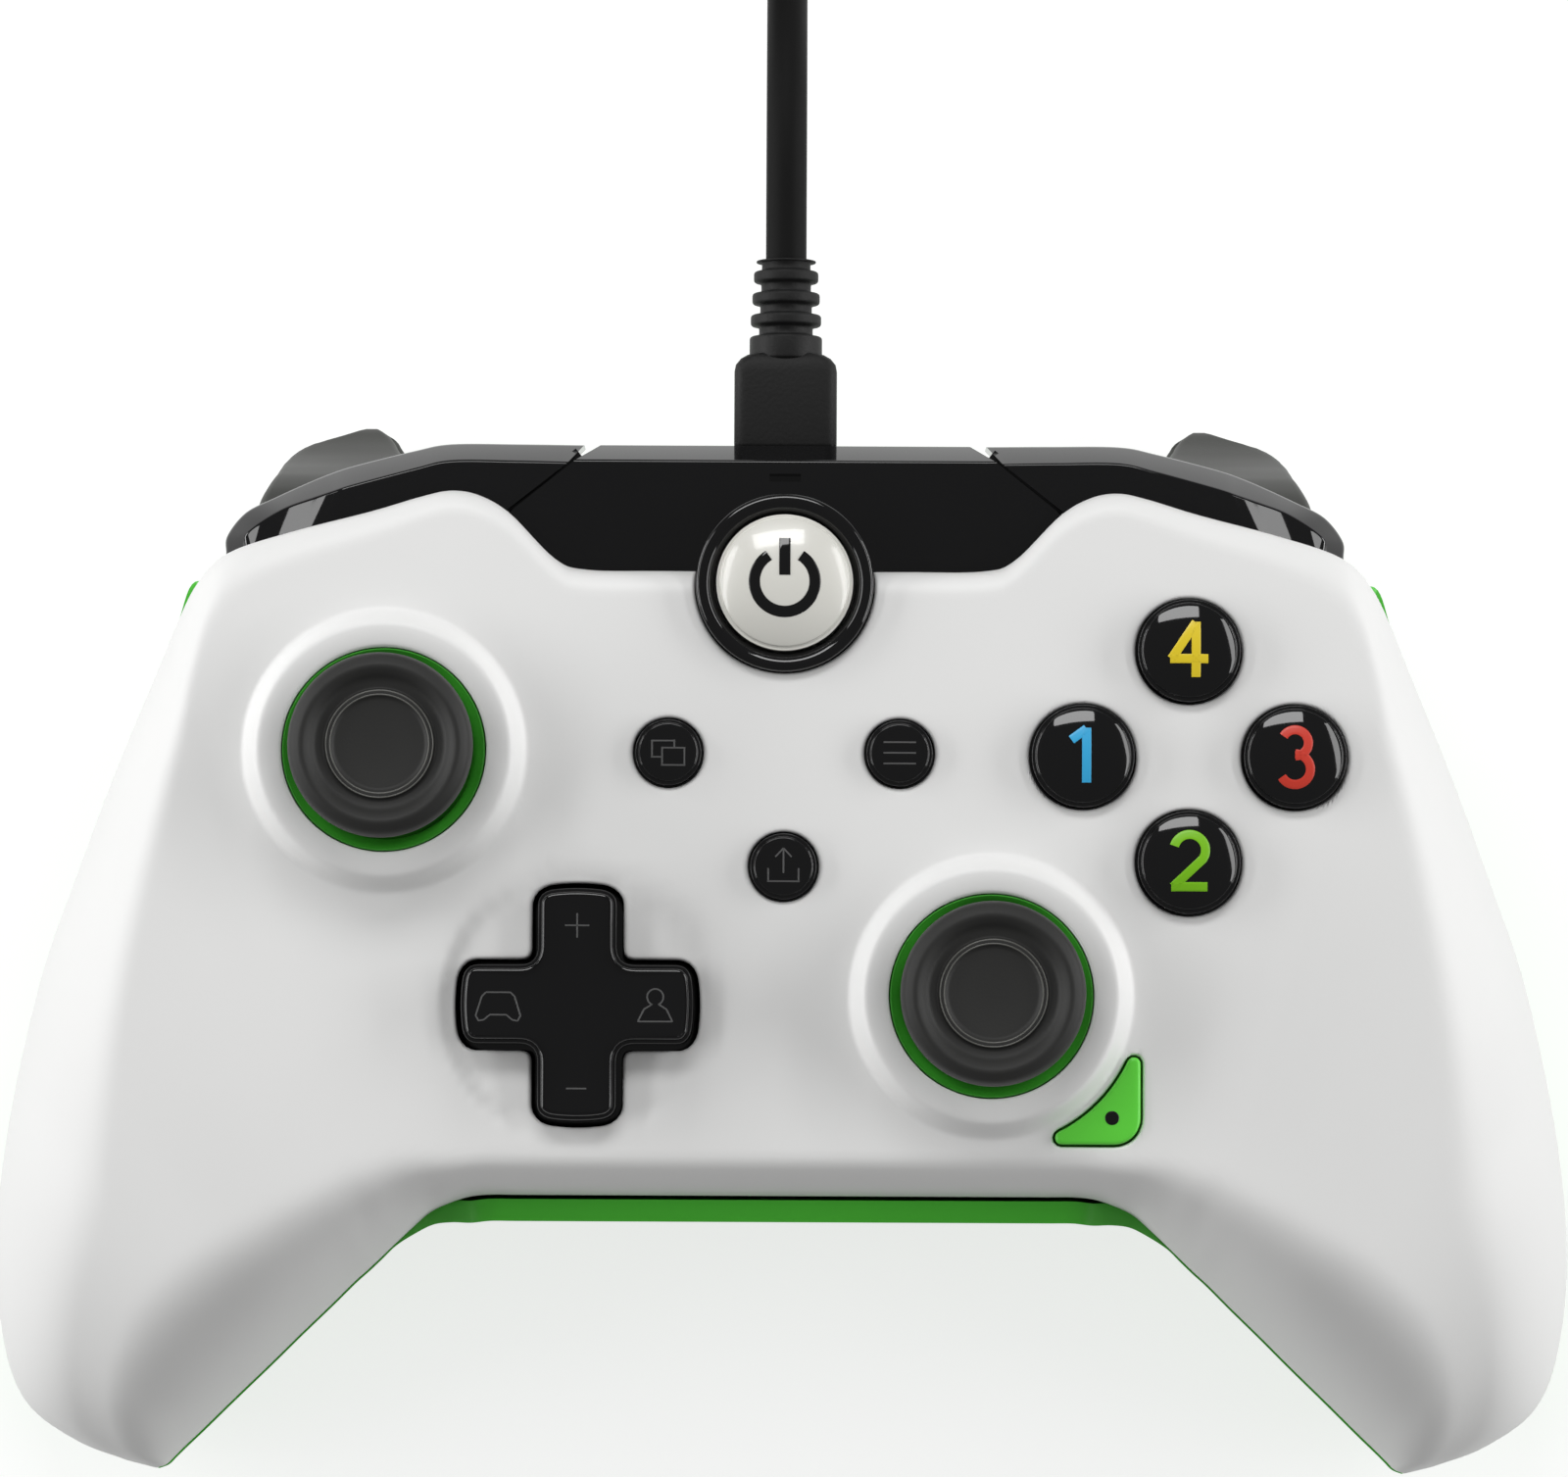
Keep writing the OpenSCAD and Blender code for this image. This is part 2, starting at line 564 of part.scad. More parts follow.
module trigger_plan() {
  y = trigger_pivot.x;
  polygon([for (p = [
    [36, -6], [53.2, -6], [53.2, 5.6], [52.9, 6.8], [52.35, 8.2], [51.75, 9.7], [51.5, 11.3], [51.1, 12.1],
    [50.45, 12.85], [49.6, 13.5], [48.2, 14.15], [46.3, 14.8], [44.7, 15.4], [43.2, 15.75], [42.2, 15.55],
    [41.4, 14.95], [40.7, 14.1], [40.05, 13.1], [39, 11.4], [37.4, 8.4], [36, 6]]) [p.x * sx, y + p.y]]);
}
module right_trigger_solid() {
  difference() {
    intersection() {
      rotate([90, 0, 90]) linear_extrude(through) trigger_profile();
      linear_extrude(through) trigger_plan();
    }
    translate([trigger_in - past, trigger_pivot.x, trigger_pivot.y]) rotate([0, 90, 0])
      cylinder(r = trigger_pin_r + running, h = trigger_out - trigger_in + 2 * past);
  }
}
module right_trigger() {
  color("#4a4a46") right_trigger_solid();
}
module left_trigger() {
  color("#4a4a46") mirror([1, 0, 0]) right_trigger_solid();
}

// Frames behind the bay walls: ears for the trigger pin, a shelf and a pin for the bumper
bay_y = rear_back[8].y * sy;
frame_back = bay_y + seat;
ear_w = 1.5;
ear_root = 0.9;
frame_in = 28.6 * sx;
ear_in = trigger_in - seat - ear_w;
ear_out = trigger_out + seat;
module right_frame_solid() {
  shelf_t = 1.2;
  shelf_d = 4.6;
  shelf_out = 48.5 * sx;
  plate_t = 1.2;
  plate_h = 11;
  difference() {
    union() {
      translate([frame_in, frame_back, frame_top - shelf_t]) cube([shelf_out - frame_in, shelf_d, shelf_t]);
      translate([frame_in, frame_back, frame_top - shelf_t])
        cube([ear_out + ear_w - frame_in, ear_root, shelf_t]);
      translate([frame_in, frame_back, frame_top - plate_h])
        cube([ear_in + ear_w - frame_in, plate_t, plate_h]);
      for (x = [ear_in, ear_out])
        translate([x, frame_back, trigger_pivot.y - hub_r])
          cube([ear_w, trigger_pivot.x + hub_r - frame_back, 2 * hub_r]);
      for (x = [ear_in, ear_out])
        translate([x, frame_back, trigger_pivot.y]) cube([ear_w, ear_root, frame_top - trigger_pivot.y]);
      drill(bumper_pin_at, bumper_lug_r, frame_top - shelf_t, frame_top);
      drill(bumper_pin_at, bumper_pin_r, frame_top - shelf_t, face_h - 5.5);
      translate([bumper_pin_at.x - 0.4, frame_back, frame_top - shelf_t])
        cube([bumper_lug_r + 0.4, bumper_pin_at.y - frame_back, shelf_t]);
    }
    translate([ear_in - past, trigger_pivot.x, trigger_pivot.y]) rotate([0, 90, 0])
      cylinder(r = trigger_pin_r + fit, h = ear_out + ear_w - ear_in + 2 * past);
  }
}
module right_trigger_frame() {
  color("#303030") right_frame_solid();
}
module left_trigger_frame() {
  color("#303030") mirror([1, 0, 0]) right_frame_solid();
}
spring_l = 2.5;
module trigger_pins() {
  from = ear_in - spring_l - 2 * seat;
  color("silver") for (s = [0, 1]) mirror([s, 0, 0])
    translate([from, trigger_pivot.x, trigger_pivot.y]) rotate([0, 90, 0])
      cylinder(r = trigger_pin_r, h = ear_out + ear_w - from);
}
// Torsion springs on the pins' inner ends, drawn as their sleeves
module trigger_springs() {
  color("silver") for (s = [0, 1]) mirror([s, 0, 0])
    translate([ear_in - spring_l - seat, trigger_pivot.x, trigger_pivot.y]) rotate([0, 90, 0]) difference() {
      cylinder(r = trigger_pin_r + 0.9, h = spring_l);
      translate([0, 0, -1]) cylinder(r = trigger_pin_r + running, h = spring_l + 2);
    }
}

// Sticks: a square base, a yoke that rocks on pins across, a ball that rocks in the yoke,
// a shaft that clicks down through the ball and a rubber cap with a domed skirt
gimbal_pin_r = 0.9;
yoke_r = 6.5;
ball_r = 3.6;
yoke_hole_r = ball_r + 0.7;
base_hole_r = yoke_r + 0.4;
base_floor = 0.8;
base_top = pivot_z + 3.2;
skirt_r = 12;
skirt_t = 0.9;
ring_r = well_r - 0.2;
ring_bore = ring_r - 0.55;
ring_flange_r = 12;
module across(r, length) {
  rotate([0, 90, 0]) cylinder(r = r, h = length, center = true);
}
module along_y(r, length) {
  rotate([90, 0, 0]) cylinder(r = r, h = length, center = true);
}
module stick_base(p) {
  color("dimgray") translate([p.x, p.y, 0]) difference() {
    translate([-stick_base_w / 2, -stick_base_w / 2, board_top])
      cube([stick_base_w, stick_base_w, base_top - board_top]);
    drill([0, 0], base_hole_r, board_top + base_floor, base_top + 1);
    translate([0, 0, pivot_z]) across(gimbal_pin_r + running, stick_base_w + 2);
  }
}
module stick_yoke(p) {
  h = 2.8;
  color("gray") translate([p.x, p.y, pivot_z]) difference() {
    union() {
      cylinder(r = yoke_r, h = h, center = true);
      across(gimbal_pin_r, stick_base_w - 0.2);
    }
    cylinder(r = yoke_hole_r, h = 2 * h, center = true);
    along_y(gimbal_pin_r + running, 4 * yoke_r);
  }
}
module stick_ball(p) {
  color("silver") translate([p.x, p.y, pivot_z]) difference() {
    union() {
      sphere(r = ball_r);
      along_y(gimbal_pin_r, 2 * yoke_r - 1.6);
    }
    cylinder(r = shaft_r + running, h = 4 * ball_r, center = true);
  }
}
shaft_top = face_h + cap_h - 3.8;
module stick_shaft(p) {
  color("silver") drill(p, shaft_r, pivot_z - 2.6, shaft_top);
}
function skirt_arc(r, from, to, steps) =
  [for (k = [0 : steps]) let (q = from + (to - from) * k / steps) [r * sin(q), pivot_z + r * cos(q)]];
module stick_cap(p) {
  neck_r = 3;
  rim = face_h + cap_h;
  bore = shaft_r + fit;
  skirt_end = asin((ring_bore - 0.6) / skirt_r);
  color("#3a3a3a") translate([p.x, p.y, 0]) rotate_extrude() polygon(concat(
    skirt_arc(skirt_r - skirt_t, asin(bore / (skirt_r - skirt_t)), skirt_end, 8),
    skirt_arc(skirt_r, skirt_end, asin(neck_r / skirt_r), 8),
    [[neck_r, rim - 5.9], [4.4, rim - 4.8], [cap_r - 1.6, rim - 4.4], [cap_r - 0.6, rim - 4],
      [cap_r, rim - 3.2], [cap_r, rim - 2.2], [cap_r - 0.25, rim - 1.1], [cap_r - 0.75, rim - 0.3],
      [cap_r - 1.4, rim], [cap_r - 2, rim - 0.25], [cap_r - 2.5, rim - 0.9], [cap_r - 3.3, rim - 1.1],
      [cap_r - 3.5, rim - 0.8], [cap_r - 3.9, rim - 0.8], [cap_r - 4.4, rim - 1.1], [0, rim - 1.4],
      [0, shaft_top + fit], [bore, shaft_top + fit]]));
}
module stick_ring(p) {
  color("limegreen") translate([p.x, p.y, 0]) rotate_extrude() polygon([
    [ring_bore, under - seat - 0.6], [ring_flange_r, under - seat - 0.6], [ring_flange_r, under - seat],
    [ring_r, under - seat], [ring_r, face_h + collar_h * 0.6], [ring_r - 0.2, face_h + collar_h * 0.7],
    [ring_bore, face_h - collar_h * 0.3]]);
}
module left_stick_base() { stick_base(left_stick); }
module right_stick_base() { stick_base(right_stick); }
module left_stick_yoke() { stick_yoke(left_stick); }
module right_stick_yoke() { stick_yoke(right_stick); }
module left_stick_ball() { stick_ball(left_stick); }
module right_stick_ball() { stick_ball(right_stick); }
module left_stick_shaft() { stick_shaft(left_stick); }
module right_stick_shaft() { stick_shaft(right_stick); }
module left_stick_cap() { stick_cap(left_stick); }
module right_stick_cap() { stick_cap(right_stick); }
module left_stick_ring() { stick_ring(left_stick); }
module right_stick_ring() { stick_ring(right_stick); }

// Direction pad on a spider that rocks in a post
key_sheet = 1;
key_r = 2.95;
spider_z = under - 5.5;
spider_r = 1;
spider_w = 4.4;
cheek = 1.2;
cheek_at = spider_w / 2 + 1.2;
dpad_flange_r = 12.6;
dpad_flange_top = under - 1.8;
dpad_flange_t = 1.4;
dpad_key_at = 8.2;
dpad_key_r = 2.4;
dpad_post_r = 5.6;
dpad_stem_r = 2;
cheek_l = 3.8;
module dpad() {
  top = face_h + dpad_h;
  bevel = 1.2;
  narrowing = 1.9;
  flange_low = dpad_flange_top - dpad_flange_t;
  root = flange_low + 0.5;
  color("#131313") translate([dpad_at.x, dpad_at.y, 0]) difference() {
    union() {
      translate([0, 0, root]) linear_extrude(top - bevel - root) cross(dpad_l, dpad_arm, 0);
      translate([0, 0, top - bevel]) linear_extrude(bevel, scale = 1 - narrowing / dpad_l)
        cross(dpad_l, dpad_arm, 0);
      drill([0, 0], dpad_flange_r, flange_low, dpad_flange_top);
      for (q = [0 : 90 : 270]) rotate(q) drill([dpad_key_at, 0], dpad_stem_r, key_low, root);
      for (s = [-1, 1])
        translate([-cheek_l / 2, s * (cheek_at + cheek / 2) - cheek / 2, spider_z - cheek_l / 2])
          cube([cheek_l, cheek, root - spider_z + cheek_l / 2]);
    }
    translate([0, 0, spider_z]) along_y(spider_r + running, 2 * (cheek_at + cheek) + 1);
  }
}
module dpad_pivot() {
  reach = 2 * (cheek_at + cheek) - 0.1;
  color("silver") translate([dpad_at.x, dpad_at.y, spider_z]) union() {
    cube([spider_w, spider_w, 3.2], center = true);
    across(spider_r, reach);
    along_y(spider_r, reach);
  }
}
module dpad_post() {
  color("dimgray") translate([dpad_at.x, dpad_at.y, 0]) difference() {
    union() {
      drill([0, 0], dpad_post_r, board_top, board_top + 1.6);
      for (s = [-1, 1]) translate([s * (cheek_at + cheek / 2) - cheek / 2, -cheek_l / 2, board_top])
        cube([cheek, cheek_l, spider_z + 1.5 - board_top]);
    }
    translate([0, 0, spider_z]) across(spider_r + running, 2 * (cheek_at + cheek) + 1);
  }
}

// Round buttons of the face
face_flange = 0.95;
face_edge = 1.2;
face_rise = 1.2;
face_stem_r = 2.8;
system_flange = 0.8;
system_edge = 0.8;
system_rise = 0.35;
system_stem_r = 2.4;
module face_button(p) {
  color("#141414") translate([p.x, p.y, 0])
    round_button(face_button_r, face_button_r + face_flange, under - seat, face_h + face_edge, face_rise,
      face_stem_r, key_low);
}
module system_button(p) {
  color("#181818") translate([p.x, p.y, 0])
    round_button(system_button_r, system_button_r + system_flange, under - seat, face_h + system_edge,
      system_rise, system_stem_r, key_low);
}
module top_button() { face_button(top_button_at); }
module left_button() { face_button(left_button_at); }
module right_button() { face_button(right_button_at); }
module bottom_button() { face_button(bottom_button_at); }
module view_button() { system_button(view_at); }
module menu_button() { system_button(menu_at); }
module share_button() { system_button(share_at); }
module function_button() {
  flange = 0.45;
  flange_t = 1.2;
  flange_top = under - 2 * seat;
  color("limegreen") union() {
    translate([0, 0, flange_top - flange_t]) linear_extrude(flange_t) function_outline(flange);
    translate([0, 0, flange_top - 0.1]) linear_extrude(face_h + function_h - flange_top + 0.1)
      function_outline(0);
    drill(function_stem_at, function_stem_r, board_top + switch_h + function_travel + seat, flange_top - 1);
  }
}

// Silicone keypads on the board, one dome under each key
module keypad(keys) {
  for (p = keys) drill(p, key_r, board_top, board_top + key_h);
}
module sheet_under(keys) {
  translate([0, 0, board_top]) linear_extrude(key_sheet) hull()
    for (p = keys) translate([p.x, p.y]) circle(r = key_r + 0.1, $fn = 24);
}
module face_keypad() {
  keys = [top_button_at, left_button_at, bottom_button_at, right_button_at];
  color("#555555") union() {
    keypad(keys);
    sheet_under(keys);
  }
}
module centre_keypad() {
  color("#555555") union() {
    keypad([view_at, menu_at, share_at, [guide_at.x, guide_at.y]]);
    sheet_under([view_at, menu_at]);
    sheet_under([share_at, guide_at]);
  }
}
module dpad_keypad() {
  color("#555555") translate([dpad_at.x, dpad_at.y, 0]) union() {
    difference() {
      drill([0, 0], dpad_flange_r - 0.6, board_top, board_top + key_sheet);
      drill([0, 0], dpad_post_r + seat, board_top - 1, board_top + 3);
    }
    for (q = [0 : 90 : 270]) rotate(q)
      drill([dpad_key_at + 0.6, 0], dpad_key_r, board_top, board_top + key_h);
  }
}

// Main board and what is soldered to it
board_half = [[10, 45], [10, 31.6], [48, 31.6], [53.6, 27], [53.6, 3], [36, -21], [0, -21]];
module main_board() {
  right = [for (p = board_half) on_face(p.x, p.y)];
  left = [for (i = [len(right) - 2 : -1 : 0]) [-right[i].x, right[i].y]];
  color("darkgreen") difference() {
    translate([0, 0, board_top - board_t]) linear_extrude(board_t) polygon(concat(right, left));
    for (p = board_screws_at) drill(p, board_screw_r + button_gap, board_top - past, board_top + past);
  }
}
usb_l = 8;
usb_wall = 0.4;
tip_w = usb_w - 2 * usb_wall - 0.3;
tip_h = usb_h - 2 * usb_wall - 0.3;
module usb_socket() {
  color("silver") difference() {
    translate([-usb_w / 2, usb_y - usb_l, plug_z - usb_h / 2]) cube([usb_w, usb_l, usb_h]);
    translate([-usb_w / 2 + usb_wall, usb_y - usb_l + 1, plug_z - usb_h / 2 + usb_wall])
      cube([usb_w - 2 * usb_wall, usb_l, usb_h - 2 * usb_wall]);
  }
}
jack_body = [7.2, 12, 3.2 + board_top - board_t - jack_z];
jack_body_y = chin_y + chin_ledge + wall + 1.4;
jack_nose_y = chin_y + 0.6;
jack_bore_l = 13.4;
module headset_jack() {
  color("#202020") difference() {
    union() {
      translate([-jack_body.x / 2, jack_body_y, jack_z - 3.2]) cube(jack_body);
      translate([0, jack_body_y + 1, jack_z]) rotate([90, 0, 0])
        cylinder(r = jack_nose_r, h = jack_body_y + 1 - jack_nose_y);
    }
    translate([0, jack_nose_y + jack_bore_l, jack_z]) rotate([90, 0, 0])
      cylinder(r = jack_r, h = jack_bore_l + 1);
  }
}
switch_h = 3.4;
bumper_switch = [6, 1.6, 4.4];
bumper_switch_x = 43 * sx;
module switches() {
  size = [5, 5, 2.6];
  color("#2a2a2a") union() {
    translate([function_stem_at.x - size.x / 2, function_stem_at.y - size.y / 2, board_top]) cube(size);
    drill(function_stem_at, 1.2, board_top, board_top + switch_h);
    for (s = [-1, 1])
      translate([s * bumper_switch_x - bumper_switch.x / 2, frame_back + 0.2, frame_top]) cube(bumper_switch);
  }
}

// Rumble motors, lying along Y in the handles, each with a half-round weight on its shaft
weight_r = 7.2;
weight_l = 5;
weight_gap = 0.5;
motor_shaft_r = 1;
module motor_body(s) {
  color("silver") translate([s * motor_at.x, motor_at.y, motor_at.z]) rotate([-90, 0, 0]) union() {
    translate([0, 0, -motor_l / 2]) cylinder(r = motor_r, h = motor_l);
    cylinder(r = motor_shaft_r, h = motor_l / 2 + weight_l + 1);
  }
}
module motor_weight(s) {
  color("goldenrod") translate([s * motor_at.x, motor_at.y + motor_l / 2 + weight_gap, motor_at.z])
    rotate([-90, 0, 0]) difference() {
      union() {
        intersection() {
          cylinder(r = weight_r, h = weight_l);
          translate([-weight_r, 0, -1]) cube([2 * weight_r, weight_r, weight_l + 2]);
        }
        cylinder(r = motor_shaft_r + 1.4, h = weight_l);
      }
      translate([0, 0, -1]) cylinder(r = motor_shaft_r + running, h = weight_l + 2);
    }
}
module left_rumble_motor() { motor_body(-1); }
module right_rumble_motor() { motor_body(1); }
module left_rumble_weight() { motor_weight(-1); }
module right_rumble_weight() { motor_weight(1); }

// Cable: a plug with a ribbed relief, a lead down to the table, a tied coil, and a tail to the far plug.
// A tube's rings stand square to its path, with the first corner to the right of it
function heading(path, i) = unit(path[min(i + 1, len(path) - 1)] - path[max(i - 1, 0)]);
function ring_at(p, t, r, sides) =
  let (right = unit(cross(t, [0, 0, 1])), up = cross(right, t))
  [for (k = [0 : sides - 1]) let (q = 360 * k / sides) p + r * (cos(q) * right + sin(q) * up)];
module tube(path, sides) {
  loft([for (i = [0 : len(path) - 1]) ring_at(path[i], heading(path, i), cable_d / 2, sides)]);
}
cable_low = 1;
cable_floor = cable_low + cable_d / 2;
coil_at = [-32.5, 154];
coil_r = 32.5;
coil_pitch = cable_d + 0.5;
coil_layers = 4;
layer_turns = 3.5;
climb_turns = 0.5;
coil_turns = 15;
loop_rings = 24;
// The spiral shrinks and grows at a steady rate, turning halfway through each climb
function coil_radius(u) =
  let (layer = layer_turns + climb_turns, w = u + climb_turns / 2, m = floor(w / layer), g = w - m * layer,
       widest = coil_r + coil_pitch * climb_turns / 2)
  m % 2 == 0 ? widest - coil_pitch * g : widest - coil_pitch * (layer - g);
function coil_height(u) =
  let (layer = layer_turns + climb_turns,
       k = floor(u / layer),
       f = (u - k * layer - layer_turns) / climb_turns)
  cable_floor + coil_pitch * (k + (1 - cos(180 * max(0, f))) / 2);
function coil_point(u) =
  let (r = coil_radius(u)) [coil_at.x + r * cos(360 * u), coil_at.y + r * sin(360 * u), coil_height(u)];
coil_loops = [for (i = [0 : coil_turns * loop_rings]) coil_point(i / loop_rings)];
coil_start = coil_loops[0] - [0, cable_d, 0];
coil_end = coil_loops[len(coil_loops) - 1] + [0, cable_d, 0];
coil_path = concat([coil_start], coil_loops, [coil_end]);

plug_gap = 0.15;
relief_start = bridge_back + 9.7;
relief_end = relief_start + 9.4;
lead_path = [
  [0, relief_end, plug_z], [0, 74, plug_z], [0, 80, 28.4], [0, 86, 27.4], [0, 92, 24.7], [0, 98, 20.6],
  [0, 104, 15.7], [0, 110, 10.8], [0, 116, 6.8], [0, 122, 4.1], [0, 128, cable_floor], [0, 134, cable_floor],
  [0, 140, cable_floor], [0, 145, cable_floor], coil_start];
tail_path = [
  coil_end, coil_end + [0, 5, 0], [-1.6, 169, 16.3], [0.4, 176, 13.6], [4, 183, 9.4], [9.5, 189.5, 5.6],
  [17, 194, 3.2], [25, 194.5, 2.6], [32, 191, 2.5], [37, 184.5, 2.8], [38.5, 176, 3.6], [38.5, 170, 4.2],
  [38.5, 164, 4.2]];
tail_end = tail_path[len(tail_path) - 1];

// Least distance between loops of the coil, measured between ring centres more than a third of a turn apart
coil_gap = min([for (i = [0 : len(coil_loops) - 1], j = [i + loop_rings / 3 : len(coil_loops) - 1])
  norm(coil_loops[i] - coil_loops[j])]) - cable_d;
function path_length(path) = len(path) < 2 ? 0 : [for (i = [1 : len(path) - 1]) norm(path[i] - path[i - 1])]
  * [for (i = [1 : len(path) - 1]) 1];

module cable_plug() {
  y = bridge_back + plug_gap;
  w = plug_w / 2;
  color("#161616") union() {
    translate([0, 0, plug_z - plug_h / 2]) linear_extrude(plug_h) polygon([
      [-w, y], [w, y], [w, relief_start - 1.4], [w - 1.5, relief_start], [1.5 - w, relief_start],
      [-w, relief_start - 1.4]]);
    translate([0, relief_start - 0.5, plug_z]) rotate([-90, 0, 0]) rotate_extrude() polygon([
      [0, 0], [3.65, 0], [3.65, 2.4], [2.7, 2.5], [2.7, 3.6], [3.55, 3.7], [3.55, 4.8], [2.6, 4.9],
      [2.6, 5.8], [3.4, 5.9], [3.4, 6.9], [2.5, 7], [2.5, 7.8], [3.25, 7.9], [3.25, 8.7], [2.45, 8.8],
      [2.45, 9.4], [3, 9.5], [3, 9.9], [0, 9.9]]);
  }
}
module cable_plug_tip() {
  from = usb_y - usb_l + 1.5;
  color("silver") translate([-tip_w / 2, from, plug_z - tip_h / 2])
    cube([tip_w, bridge_back + plug_gap - from, tip_h]);
}
module cable_lead() { color("#1c1c1c") tube(lead_path, 8); }
module cable_coil() { color("#1c1c1c") tube(coil_path, 6); }
module cable_tail() { color("#1c1c1c") tube(tail_path, 8); }
far_plug_l = 30;
far_shell = [12, 12, 4.5];
module usb_plug() {
  w = 15.6;
  h = 8;
  color("#161616") translate([tail_end.x, tail_end.y, tail_end.z - h / 2]) linear_extrude(h) polygon([
    [-3.4, 0], [-3.8, -5], [-w / 2, -8], [-w / 2, -far_plug_l], [w / 2, -far_plug_l], [w / 2, -8], [3.8, -5],
    [3.4, 0]]);
}
module usb_plug_shell() {
  t = 0.5;
  at = tail_end - [far_shell.x / 2, far_plug_l + far_shell.y, far_shell.z / 2];
  color("silver") translate(at) difference() {
    cube(far_shell);
    translate([t, -1, far_shell.z / 2]) cube([far_shell.x - 2 * t, far_shell.y - 1, far_shell.z / 2 - t]);
  }
}
module cable_tie() {
  strap = 0.75;
  band = 7;
  inside = coil_radius(layer_turns) - cable_d / 2 - 1;
  outside = coil_r + cable_d / 2 + 0.5;
  low = cable_low - 0.15;
  high = cable_floor + coil_pitch * (coil_layers - 1) + cable_d / 2 + 0.2;
  color("#202020") translate([coil_at.x - outside, coil_at.y - band / 2, low]) difference() {
    translate([-strap, 0, -strap]) cube([outside - inside + 2 * strap, band, high - low + 2 * strap]);
    translate([0, -1, 0]) cube([outside - inside, band + 2, high - low]);
  }
}

echo(coil_gap = coil_gap,  // cable_coil
    cable_length = path_length(lead_path) + path_length(coil_path) + path_length(tail_path));
front_shell();
rear_shell();
top_bridge();
guide_bezel();
guide_button();
left_bumper();
right_bumper();
left_trigger();
right_trigger();
left_trigger_frame();
right_trigger_frame();
trigger_pins();
trigger_springs();
left_stick_ring();
right_stick_ring();
left_stick_base();
right_stick_base();
left_stick_yoke();
right_stick_yoke();
left_stick_ball();
right_stick_ball();
left_stick_shaft();
right_stick_shaft();
left_stick_cap();
right_stick_cap();
dpad();
dpad_pivot();
dpad_post();
top_button();
left_button();
right_button();
bottom_button();
view_button();
menu_button();
share_button();
function_button();
face_keypad();
centre_keypad();
dpad_keypad();
main_board();
usb_socket();
headset_jack();
switches();
left_rumble_motor();
right_rumble_motor();
left_rumble_weight();
right_rumble_weight();
shell_screws();
board_screws();
cable_plug();
cable_plug_tip();
cable_lead();
cable_coil();
cable_tail();
usb_plug();
usb_plug_shell();
cable_tie();
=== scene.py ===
"""Looks of a wired gamepad, made round its CAD frame: shells, sticks, buttons, triggers and a coiled cable.

Tables and formulas are in millimetres in the part's frame: +Z up, +Y towards the cable, origin on the table.
"""

import math

import bmesh
import bpy
import numpy as np
from bpy.props import FloatProperty, FloatVectorProperty, PointerProperty
from bpy.types import Operator, Panel, PropertyGroup
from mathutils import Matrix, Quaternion, Vector
from mathutils.geometry import delaunay_2d_cdt


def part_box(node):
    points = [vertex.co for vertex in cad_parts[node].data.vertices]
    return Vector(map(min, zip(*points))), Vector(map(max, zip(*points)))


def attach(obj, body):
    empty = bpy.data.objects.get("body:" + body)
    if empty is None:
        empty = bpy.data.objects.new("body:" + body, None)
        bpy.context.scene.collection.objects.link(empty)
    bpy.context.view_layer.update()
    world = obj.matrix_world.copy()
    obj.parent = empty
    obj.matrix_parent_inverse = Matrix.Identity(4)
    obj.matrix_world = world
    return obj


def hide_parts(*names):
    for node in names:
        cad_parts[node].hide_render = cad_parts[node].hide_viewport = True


bl_info = {
    "name": "Wired gamepad",
    "version": (1, 0, 0),
    "blender": (4, 5, 0),
    "location": "3D View > Sidebar > Gamepad",
    "description": "Builds the looks of a wired gamepad round its CAD frame",
    "category": "Object",
}

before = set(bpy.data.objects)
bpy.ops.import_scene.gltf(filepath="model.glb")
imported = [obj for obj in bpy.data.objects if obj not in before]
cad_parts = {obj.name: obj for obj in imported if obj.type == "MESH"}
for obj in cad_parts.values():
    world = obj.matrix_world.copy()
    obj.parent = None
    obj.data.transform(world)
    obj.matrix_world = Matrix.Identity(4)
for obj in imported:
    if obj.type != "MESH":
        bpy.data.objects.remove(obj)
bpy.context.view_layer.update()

MM = 0.001
SHARP = 38

# Heights of the face, the underside of its wall, the stick pivots, the feet of the keys and the cable plug
FACE = 43.0
UNDER = 40.8
PIVOT = 31.4
KEY_LOW = 30.4
PLUG_Z = 28.4
STICKS = {"left": (-39.4, 18.1), "right": (20.5, -5.9)}
WELL_R = 10.1
COLLAR_CREST = 12.3
COLLAR_FOOT = 14.2
PAD_AT = (-20.2, -6.9)
PAD_LENGTH = 22.8
PAD_ARM = 7.7
FACE_BUTTONS = {
    "top": (39.9, 28.25),
    "left": (29.45, 17.8),
    "right": (50.35, 17.8),
    "bottom": (39.9, 7.35),
}
FACE_R = 5.05
SYSTEM_BUTTONS = {"view": (-11.4, 18.0), "menu": (11.4, 18.0), "share": (0.0, 6.8)}
SYSTEM_R = 3.25
GUIDE_AT = (0.0, 34.8)
GUIDE_R = 6.75
GUIDE_OUTER_R = 8.8
BUTTON_GAP = 0.25
FLANGE_GAP = 0.3
FINE_WIDTH = 0.16
FINE_LIFT = 0.03
SIDES = {"right": 1, "left": -1}
# Screws and posts stand in pairs, left then right: plan place, and for the screws the height of the joint
SHELL_SCREWS = [(side * x, y, z) for x, y, z in ((60.3, 12.0, 22.0), (67.3, -36.0, 13.0)) for side in (-1, 1)]
SCREW_GAP = 0.15
BOARD_POSTS = [(side * x, y) for x, y in ((50.5, 4.6), (10.0, -18.0)) for side in (-1, 1)]
JACK_Z = 21.9
JACK_R = 3.35
MOTOR_AT = (64.0, -19.0, 17.0)
CUP_R = 8.55

